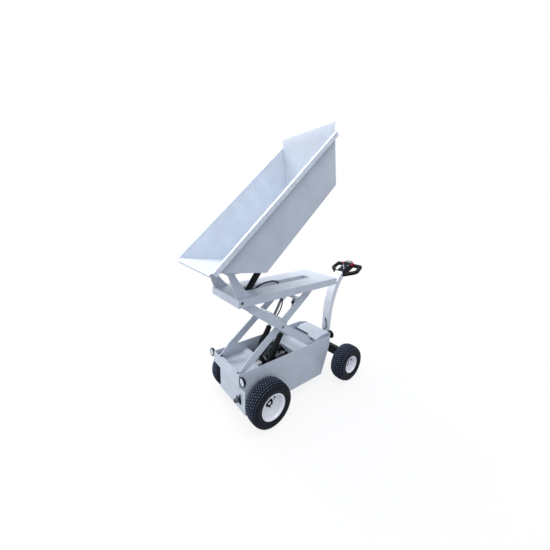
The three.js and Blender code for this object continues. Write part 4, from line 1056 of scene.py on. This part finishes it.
class CART_OT_tiller_head(bpy.types.Operator):
    """Moulds the tiller's head from one skin and fits its buttons, levers and stop buttons"""

    bl_idname = "cart.tiller_head"
    bl_label = "Tiller head"

    def execute(self, context):
        head = welded_copy("tiller_handle", "tiller_handle_moulded")
        modify(head, "REMESH", mode="VOXEL", voxel_size=2.4 * MM, use_smooth_shade=True)
        modify(head, "SMOOTH", factor=0.6, iterations=14)
        carried(coated(head, "plastic"), "tiller", "black_plastic", "tiller_handle")
        for side in SIDES:
            dressed(f"stop_button_{side}", ("red",), "red_plastic", 2.5, 3)
        levers = [
            bar("thumb_lever", (x - 9, 120, -18), (x + 9, 152, -6), 3.5, 3) for x in (34, -34)
        ]
        levers = settled(joined("thumb_levers", *levers), HEAD)
        fitted(levers, "grey", "tiller", "black_plastic")
        # Small buttons on the head's top: x, y and radius.
        buttons = []
        for x, y, radius in ((0, 98, 8), (-28, 62, 6), (28, 62, 6)):
            button = lathed("button", [
                (0, 0), (radius, 0), (radius, 5.5), (radius - 2, 7), (0, 7.6),
            ], 24)
            buttons.append(moved(button, Matrix.Translation((x, y, 0))))
        buttons = settled(joined("panel_buttons", *buttons), HEAD)
        fitted(buttons, "white", "tiller", "white_plastic")
        return {"FINISHED"}


HEADLIGHT = 40                                # the headlight's radius


class CART_OT_lamps(bpy.types.Operator):
    """Makes the headlights: housing, hoop, prismatic lens and bracket"""

    bl_idname = "cart.lamps"
    bl_label = "Headlights"

    def execute(self, context):
        for side, sign in SIDES.items():
            # A lamp fills its box's outer and upper corner, and its ring lies on the plane
            # 10 mm behind its front.
            low, high = corners(f"headlight_{side}")
            outer = high.x if sign > 0 else low.x
            place = frame_at(at(outer - sign * HEADLIGHT, low.y + 10, high.z - HEADLIGHT))
            housing = settled(lathed("housing", [
                (0, -20), (19, -20), (28, -16), (36, -8), (HEADLIGHT - 1, -4), (HEADLIGHT, 0),
                (HEADLIGHT, 8), (HEADLIGHT - 1, 10), (36.5, 10), (36, 6), (0, 4),
            ], 48), place @ AXIS_FRONT)
            bracket = rounded(drawn("bracket", [
                (-46, -48), (8, -48), (14, -42), (14, -22), (-14, -22), (-46, -30),
            ], 4), 1.2)
            mirrored = Matrix.Scale(sign, 4, (1, 0, 0))
            settled(bracket, shifted(place, 0, 12, 0) @ mirrored @ AXIS_FRONT)
            with editing(bracket):
                face_outwards()
            lamp = joined(f"headlight_{side}_housing", housing, bracket)
            fitted(lamp, "enamel", "chassis", "black_plastic", f"headlight_{side}", angle=32)
            hoop = settled(lathed(f"headlight_{side}_hoop", [
                (33, 5), (36, 4), (37.5, 6), (37.5, 9.5), (36, 10.8), (33.6, 9.6), (33, 7), (33, 5),
            ], 48), place @ AXIS_FRONT)
            fitted(hoop, "plastic", "chassis", "black_plastic", angle=40)
            lens = settled(lathed(f"headlight_{side}_lens", [
                (0, 4), (33.4, 4), (33.2, 7), (28, 8.6), (18, 9.8), (8, 10.4), (0, 10.5),
            ], 48), place @ AXIS_FRONT)
            fitted(lens, "lens", "chassis", "white_plastic", angle=40)
        places = [frame_at(at(x, -220, 434)) @ AXIS_FRONT for x in (262, -262)]
        bolts = arrayed(hexagon("bracket_bolt", 6, 4, 1.2), "headlight_bolts", places)
        fitted(bolts, "zinc", "chassis", "steel")
        return {"FINISHED"}


class CART_OT_switch_and_horn(bpy.types.Operator):
    """Makes the battery isolator on the front panel and the horn behind the tub"""

    bl_idname = "cart.switch_and_horn"
    bl_label = "Isolator and horn"

    def execute(self, context):
        self.isolator()
        self.horn()
        return {"FINISHED"}

    @staticmethod
    def isolator():
        """A turned body on a plate, with its key across it and a lever beside it."""
        low, high = corners("isolator_switch")
        place = frame_at(at(low.x + 26, high.y, low.z + 24))
        plate = bar("plate", (-26, -24, 0), (46, 24, 7), 2)
        body = lathed("body", [
            (0, 5), (24, 5), (25, 7), (25, 16), (23, 19), (21, 24), (19, 36), (17, 39),
            (15, 40), (0, 40),
        ], 40)
        key = bar("key", (-4, -15, 34), (4, 15, 40), 2.5, 3)
        lever = bar("lever", (33, -8, 5), (45, 76, 13), 3, 3)
        switch = joined("isolator_switch_moulded", plate, body, key, lever)
        with editing(switch):
            face_outwards()
        settled(switch, place @ AXIS_FRONT)
        coated(smooth(switch, 32), "plastic", "grey")
        # The turned body is grey, and its plate, key and lever are black.
        to_switch = place.inverted()
        for face in switch.data.polygons:
            x, y, z = to_switch @ face.center / MM
            face.material_index = int(abs(x) < 26 and abs(z) < 26 and -39 < y < -8)
        carried(switch, "chassis", "black_plastic", "isolator_switch")

    @staticmethod
    def horn():
        """A pressed disc horn, hung on a bent strap."""
        low, high = corners("horn")
        radius = (high.x - low.x) / 2
        place = frame_at(at(low.x + radius, low.y + 10, high.z - radius))
        shell = lathed("shell", [
            (0, 0), (30, 0), (40, 5), (radius - 0.5, 7), (radius, 9), (radius, 12),
            (radius - 1.5, 14), (38, 16), (36, 20), (33, 21), (31, 18), (22, 18), (19, 26),
            (16, 31.5), (0, 32),
        ], 48)
        settled(shell, place @ AXIS_Y)
        strap = settled(bar("strap", (-14, -9.7, -60), (-4, -6.7, -8), 1), place)
        strap_top = settled(bar("strap_top", (-14, -9.7, -12), (-4, 4, -8), 1), place)
        horn = joined("horn_pressed", shell, strap, strap_top)
        fitted(horn, "enamel", "chassis", "black_plastic", "horn", angle=32)


SEAT_GAP = 0.3                                # what a finished piece leaves to its neighbours
MOTOR_AXIS = 362                              # the pump motor's height above the ground


class CART_OT_power_unit(bpy.types.Operator):
    """Makes the oil tank, the pump motor, the valve block and the boxes that carry them"""

    bl_idname = "cart.power_unit"
    bl_label = "Power unit"

    def execute(self, context):
        edge = context.scene.cart_sizes.moulded_edge
        for node in ("controller_box", "battery_block"):
            dressed(node, ("plastic",), "black_plastic", edge)
        self.tank()
        self.motor()
        self.valves()
        self.coils()
        return {"FINISHED"}

    @staticmethod
    def tank():
        """The moulded tank, with three ribs on its front."""
        low, high = corners("hydraulic_tank")
        body = bar("body", low, (high.x, high.y, high.z - 4), 9, 4)
        ribs = [
            bar("rib", (x - 4, low.y - 2.5, low.z + 10), (x + 4, low.y + 2, low.z + 72), 1.8)
            for x in (-30, 0, 30)
        ]
        tank = settled(joined("hydraulic_tank_moulded", body, *ribs), CHASSIS)
        fitted(tank, "tank", "chassis", "white_plastic", "hydraulic_tank")

    @staticmethod
    def motor():
        """The motor's can on its foot, with two clamp bands and two studs."""
        axis = shifted(CHASSIS, 0, 0, MOTOR_AXIS) @ AXIS_Y
        can = settled(lathed("can", [
            (0, 128.6), (16, 128.6), (17, 131), (34, 132), (41, 136), (43, 140), (43, 150),
            (44, 151), (44, 158), (42.5, 160), (42.5, 268), (44, 270), (44, 282), (43, 284),
            (36, 286), (34, 299.7), (0, 299.7),
        ], 56), axis)
        foot = settled(bar("foot", (-36, 146, 310.5), (36, 278, 326), 3), CHASSIS)
        saddle = settled(bar("saddle", (-30, 160, 320), (30, 262, 344), 3), CHASSIS)
        motor = joined("pump_motor_turned", can, foot, saddle)
        fitted(motor, "enamel", "chassis", "black_paint", "pump_motor", angle=32)
        band = [(42.6, 0), (44, 0), (44, 12), (42.6, 12), (42.6, 0)]
        bands = [
            settled(lathed("band", [(radius, y + across) for radius, across in band], 56), axis)
            for y in (178, 244)
        ]
        fitted(joined("motor_bands", *bands), "zinc", "chassis", "steel")
        stud = lathed("stud", [(0, 0), (7, 0), (7, 4), (4, 5), (4, 12), (3, 13), (0, 13)], 20)
        studs = arrayed(stud, "motor_studs", [frame_at(at(x, 258, 402)) for x in (16, -16)])
        fitted(studs, "zinc", "chassis", "steel")

    @staticmethod
    def valves():
        """The valve block with its four hose fittings: a seat, a nut and a neck each."""
        low, high = corners("valve_block")
        body = bar("valve_block_milled", (low.x, low.y + SEAT_GAP, 310.5),
                   (high.x, high.y - SEAT_GAP, 396), 2.5)
        fitted(settled(body, CHASSIS), "aluminium", "chassis", "steel", "valve_block")
        places = [frame_at(at(x, y, 0)) for x in (-24, 24) for y in (330.3, 386.3)]
        seat = lathed("seat", [(0, 395), (9, 395), (9, 399), (7, 400), (7, 405), (0, 405)], 24)
        neck = lathed("neck", [(0, 413), (6.5, 413), (6.5, 422), (5.5, 424), (0, 424)], 20)
        fittings = arrayed(joined("fitting", seat, neck), "valve_fittings", places)
        fitted(fittings, "zinc", "chassis", "steel")
        nut = moved(hexagon("nut", 9.6, 9), Matrix.Translation((0, 0, 400.5)))
        fitted(arrayed(nut, "valve_nuts", places), "zinc", "chassis", "steel")

    @staticmethod
    def coils():
        """The solenoid coils on the valve block, between its fittings."""
        coil = rounded(block("coil", (-15, -14, 0), (15, 14, 34)), 4, 3)
        stub = lathed("stub", [(0, 30), (8, 30), (8, 40), (6, 42), (0, 42)], 24)
        places = [frame_at(at(0, y, 394)) for y in (318, 358, 400)]
        coils = arrayed(joined("coil", coil, stub), "solenoid_coils", places)
        fitted(coils, "plastic", "chassis", "black_plastic")


class CART_OT_rear_cover_fittings(bpy.types.Operator):
    """Makes the cable strip on the rear cover and the connector block beside it"""

    bl_idname = "cart.rear_cover_fittings"
    bl_label = "Rear cover fittings"

    def execute(self, context):
        strip = settled(bar("cable_strip", (-150, 741, 485), (40, 751.5, 504)), CHASSIS)
        fitted(strip, "dark", "chassis", "steel")
        body = bar("body", (62.5, 704, 436), (111.5, 743, 468), 3)
        ribs = [bar("rib", (x, 701.5, 440), (x + 3, 706, 466), 1, 1) for x in (70, 80, 90, 100)]
        block_body = settled(joined("ribbed_body", body, *ribs), CHASSIS)
        collar = lathed("collar", [(0, 0), (9, 0), (9, 6), (7, 8), (7, 16), (6, 17), (0, 17)], 24)
        settled(collar, frame_at(at(110, 722, 452)) @ AXIS_X)
        connector = joined("connector_block_moulded", block_body, collar)
        fitted(connector, "plastic", "chassis", "black_plastic", "connector_block")
        return {"FINISHED"}


class CART_OT_bolts(bpy.types.Operator):
    """Fits the bolt heads at the arms' ends and middles and the platform, and shaft collars"""

    bl_idname = "cart.bolts"
    bl_label = "Bolt heads"

    def execute(self, context):
        # Pairs, one on each side: name, body, the frame and x and y in it, and the head's size.
        for name, body, frame_of_arm, x, y, size in (
            ("arm_centre_bolts", "inner_arms", INNER, 207, 542, 11),
            ("arm_foot_bolts", "inner_arms", INNER, 208, 0, 13),
            ("arm_roller_bolts", "inner_arms", INNER, 190, 1084, 6.5),
            ("outer_roller_bolts", "outer_arms", OUTER, 207, 542, 7),
            ("platform_pin_bolts", "platform", PLATFORM, 231.3, 0, 9),
        ):
            self.pair(hexagon(name, size, size * 0.5, 1.6), name, body, frame_of_arm, x, y)
        # Collars that hold the arms' foot shaft, one inside each arm.
        collar = sleeve("collar", 12.2, 19, 0, 12, 1, 40)
        self.pair(collar, "foot_shaft_collars", "chassis", INNER, 150, 0)
        return {"FINISHED"}

    @staticmethod
    def pair(master, name, body, place, x, y):
        """Two copies that face outwards, x to each side."""
        places = [shifted(place, sign * x, y, 0) @ turn for sign, turn in OUTWARD.items()]
        fitted(arrayed(master, name, places), "dark", body, "black_paint")


# Routes in millimetres from the front axle and the ground; those of a pair are the left one's.
ROUTES = {
    "lift_hose": [
        (-34, 140, 405), (-36, 141, 440), (-42, 150, 520), (-48, 184, 590), (-50, 246, 645),
        (-50, 310, 697), (-49, 362, 752), (-48, 414, 812), (-46, 442, 878), (-45, 440, 944),
        (-44, 414, 1006), (-44, 397, 1048), (-44, 394, 1076),
    ],
    "dump_hose": [
        (-44, 394, 1076), (-44, 392, 1099), (-44, 378, 1122), (-44, 346, 1140), (-44, 300, 1146),
        (-44, 254, 1146), (-44, 208, 1142), (-44, 165, 1129), (-43, 128, 1111), (-43, 92, 1103),
        (-42, 54, 1104), (-42, 24, 1114), (-41, 8, 1128),
    ],
    "foot_hose": [
        (24, 386.3, 422), (24, 386, 441), (28, 378, 469), (35, 356, 489), (43, 326, 493),
        (50, 290, 479), (54, 252, 449), (56, 210, 405), (56, 164, 361), (57, 128, 334),
    ],
    "motor_lead": [
        (16, 258, 412), (15, 262, 436), (11, 290, 462), (8, 340, 466), (7, 390, 452),
        (7, 428, 412), (8, 448, 368), (10, 470, 344), (12, 492, 334),
    ],
    "connector_cable": [
        (125, 722, 452), (139, 721, 449.5), (152, 719, 441), (159, 716, 428), (161, 714, 414),
    ],
    "tiller_cable": [
        (0, 1084, 574), (8, 1073, 567), (20, 1065, 546), (32, 1062, 520), (38, 1058, 501),
        (42, 1047, 486), (42, 1031, 477), (40, 1010, 474.5), (34, 982, 474), (28, 948, 474),
    ],
}
MOTOR_LEAD = 9                                # diameter
CONNECTOR_CABLE = 8                           # diameter


class CART_OT_hoses(bpy.types.Operator):
    """Lays the hydraulic hoses, the motor leads and the tiller and connector cables"""

    bl_idname = "cart.hoses"
    bl_label = "Hoses and cables"

    def execute(self, context):
        sizes = context.scene.cart_sizes
        lift_hose = self.laid("lift_hose", sizes.hose, ROUTES["lift_hose"])
        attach(lift_hose, "chassis")
        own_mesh(lift_hose)
        dump_hose = self.laid("dump_hose", sizes.hose, ROUTES["dump_hose"])
        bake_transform(dump_hose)
        for side, sign in SIDES.items():
            route = [(sign * x, y, z) for x, y, z in ROUTES["foot_hose"]]
            hose = self.laid(f"foot_hose_{side}", sizes.hose, route)
            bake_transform(hose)
        for side, sign in SIDES.items():
            route = [(sign * x, y, z) for x, y, z in ROUTES["motor_lead"]]
            lead = self.laid(f"motor_lead_{side}", MOTOR_LEAD, route)
            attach(lead, "chassis")
        connector_cable = self.laid("connector_cable", CONNECTOR_CABLE, ROUTES["connector_cable"])
        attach(connector_cable, "chassis")
        tiller_cable = self.laid("tiller_cable", sizes.cable, ROUTES["tiller_cable"])
        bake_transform(tiller_cable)
        return {"FINISHED"}

    @staticmethod
    def laid(name, diameter, route):
        """A hose or cable along its route."""
        line = routed(route)
        piece = coated(piped(name, line, diameter), "hose")
        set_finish(piece, "black_plastic")
        return piece


class CART_OT_stage(bpy.types.Operator):
    """Sets the floor, the soft studio lamps, the white surround and the camera"""

    bl_idname = "cart.stage"
    bl_label = "Stage"

    def execute(self, context):
        scene = context.scene
        scene.view_settings.view_transform = "Standard"
        self.floor()
        self.world(scene)
        self.lamps()
        self.camera(scene)
        return {"FINISHED"}

    @staticmethod
    def floor():
        """A pale floor that takes the cart's shadow."""
        piece = begin("studio_floor", "plane", size=60)
        with editing(piece):
            bpy.ops.mesh.subdivide(number_cuts=3)
        material = emptied(bpy.data.materials.new("studio_floor_paint"))
        paint = add(material, "BsdfDiffuse", Color=linear("#eceef0"))
        glow = add(material, "Emission", Color=(1, 1, 1, 1), Strength=1.0)
        # Near the cart the paint takes its shadow; further out the floor fades to plain white.
        place = add(material, "TexCoord").outputs["Object"]
        away = add(material, "VectorMath", place, operation="LENGTH")
        fade = add(material, "MapRange", Value=away.outputs["Value"], From_Min=1.0, From_Max=3.2,
                   To_Min=0.86, To_Max=1.0)
        shown = add(material, "MixShader", fade.outputs[0], paint.outputs[0], glow.outputs[0])
        # What the floor throws back on the cart is that of a grey yard, not of white paper.
        yard = add(material, "BsdfDiffuse", Color=linear("#8e939b"))
        path = add(material, "LightPath").outputs
        seen = add(material, "Math", path["Is Camera Ray"], path["Is Glossy Ray"],
                   operation="MAXIMUM")
        mixed = add(material, "MixShader", seen.outputs[0], yard.outputs[0], shown.outputs[0])
        add(material, "OutputMaterial", Surface=mixed.outputs[0])
        piece.data.materials.append(material)

    @staticmethod
    def world(scene):
        """A soft grey-blue surround, white where the camera, gloss or glass looks at it."""
        world = scene.world = emptied(bpy.data.worlds.new("studio"))
        path = add(world, "LightPath").outputs
        through = add(world, "Math", path["Is Camera Ray"], path["Is Transmission Ray"],
                      operation="MAXIMUM")
        seen = add(world, "Math", through.outputs[0], path["Is Glossy Ray"], operation="MAXIMUM")
        soft = add(world, "Background", Color=linear("#e6ecf7"), Strength=0.86)
        white = add(world, "Background", Color=(1, 1, 1, 1), Strength=1.0)
        mixed = add(world, "MixShader", seen.outputs[0], soft.outputs[0], white.outputs[0])
        add(world, "OutputWorld", Surface=mixed.outputs[0])

    @staticmethod
    def lamps():
        """Three soft boxes, all turned to the cart's middle."""
        middle = Vector((0, 0, 0.9))
        # Each lamp: name, place in metres, size in metres, power in watts.
        for name, place, size, power in (
            ("front_softbox", (0.2, -4.2, 1.2), 2.6, 43),
            ("top_softbox", (0.8, -0.6, 5.6), 3.0, 121),
            ("left_softbox", (-2.6, -1.0, 4.8), 2.6, 142),
        ):
            only()
            bpy.ops.object.light_add(type="AREA", location=place)
            lamp = bpy.context.object
            lamp.name = name
            lamp.data.size = size
            lamp.data.energy = power
            aim = middle - Vector(place)
            lamp.rotation_euler = aim.to_track_quat("-Z", "Y").to_euler()

    @staticmethod
    def camera(scene):
        """Looks from the cart's front left corner, a little down, with a slight roll."""
        turn, dip, roll = radians(52.966), radians(11.814), radians(0.484)
        back = Vector((sin(turn) * cos(dip), -cos(turn) * cos(dip), sin(dip)))
        right = (-back).cross(Vector((0, 0, 1))).normalized()
        up = right.cross(-back)
        across = right * cos(roll) + up * sin(roll)
        over = up * cos(roll) - right * sin(roll)
        only()
        bpy.ops.object.camera_add()
        camera = bpy.context.object
        camera.name = "studio_camera"
        turned = Matrix((across, over, back)).transposed().to_4x4()
        camera.matrix_world = Matrix.Translation(at(1784, -1129, 1794)) @ turned
        camera.data.sensor_width = 36
        camera.data.lens = 16.335
        camera.data.shift_x = 0.01375
        camera.data.shift_y = -0.019
        camera.data.clip_end = 200
        scene.camera = camera


class CART_PT_panel(bpy.types.Panel):
    """Lists the cart's pieces, sizes and colours"""

    bl_idname = "CART_PT_panel"
    bl_label = "Dump cart"
    bl_space_type = "VIEW_3D"
    bl_region_type = "UI"
    bl_category = "Dump cart"

    def draw(self, context):
        for kind in OPERATORS:
            self.layout.operator(kind.bl_idname)
        for group in (context.scene.cart_sizes, context.scene.cart_colours):
            for key in group.bl_rna.properties.keys():
                if key not in ("rna_type", "name"):
                    self.layout.prop(group, key)


OPERATORS = [
    CART_OT_plain_steel, CART_OT_sheet_metal, CART_OT_lift_arms, CART_OT_cylinders,
    CART_OT_tyres, CART_OT_rims, CART_OT_axles, CART_OT_tiller, CART_OT_tiller_head,
    CART_OT_lamps, CART_OT_switch_and_horn, CART_OT_power_unit, CART_OT_rear_cover_fittings,
    CART_OT_bolts, CART_OT_hoses, CART_OT_stage,
]
CLASSES = [CartSizes, CartColours, *OPERATORS, CART_PT_panel]


def register():
    for kind in CLASSES:
        bpy.utils.register_class(kind)
    bpy.types.Scene.cart_sizes = bpy.props.PointerProperty(type=CartSizes)
    bpy.types.Scene.cart_colours = bpy.props.PointerProperty(type=CartColours)


def unregister():
    del bpy.types.Scene.cart_colours
    del bpy.types.Scene.cart_sizes
    for kind in reversed(CLASSES):
        bpy.utils.unregister_class(kind)


def main():
    register()
    FINISHES.update(make_finishes())
    for kind in OPERATORS:
        group, name = kind.bl_idname.split(".")
        if getattr(getattr(bpy.ops, group), name)() != {"FINISHED"}:
            raise RuntimeError(f"{kind.bl_label} didn't finish")


if __name__ == "__main__":
    main()
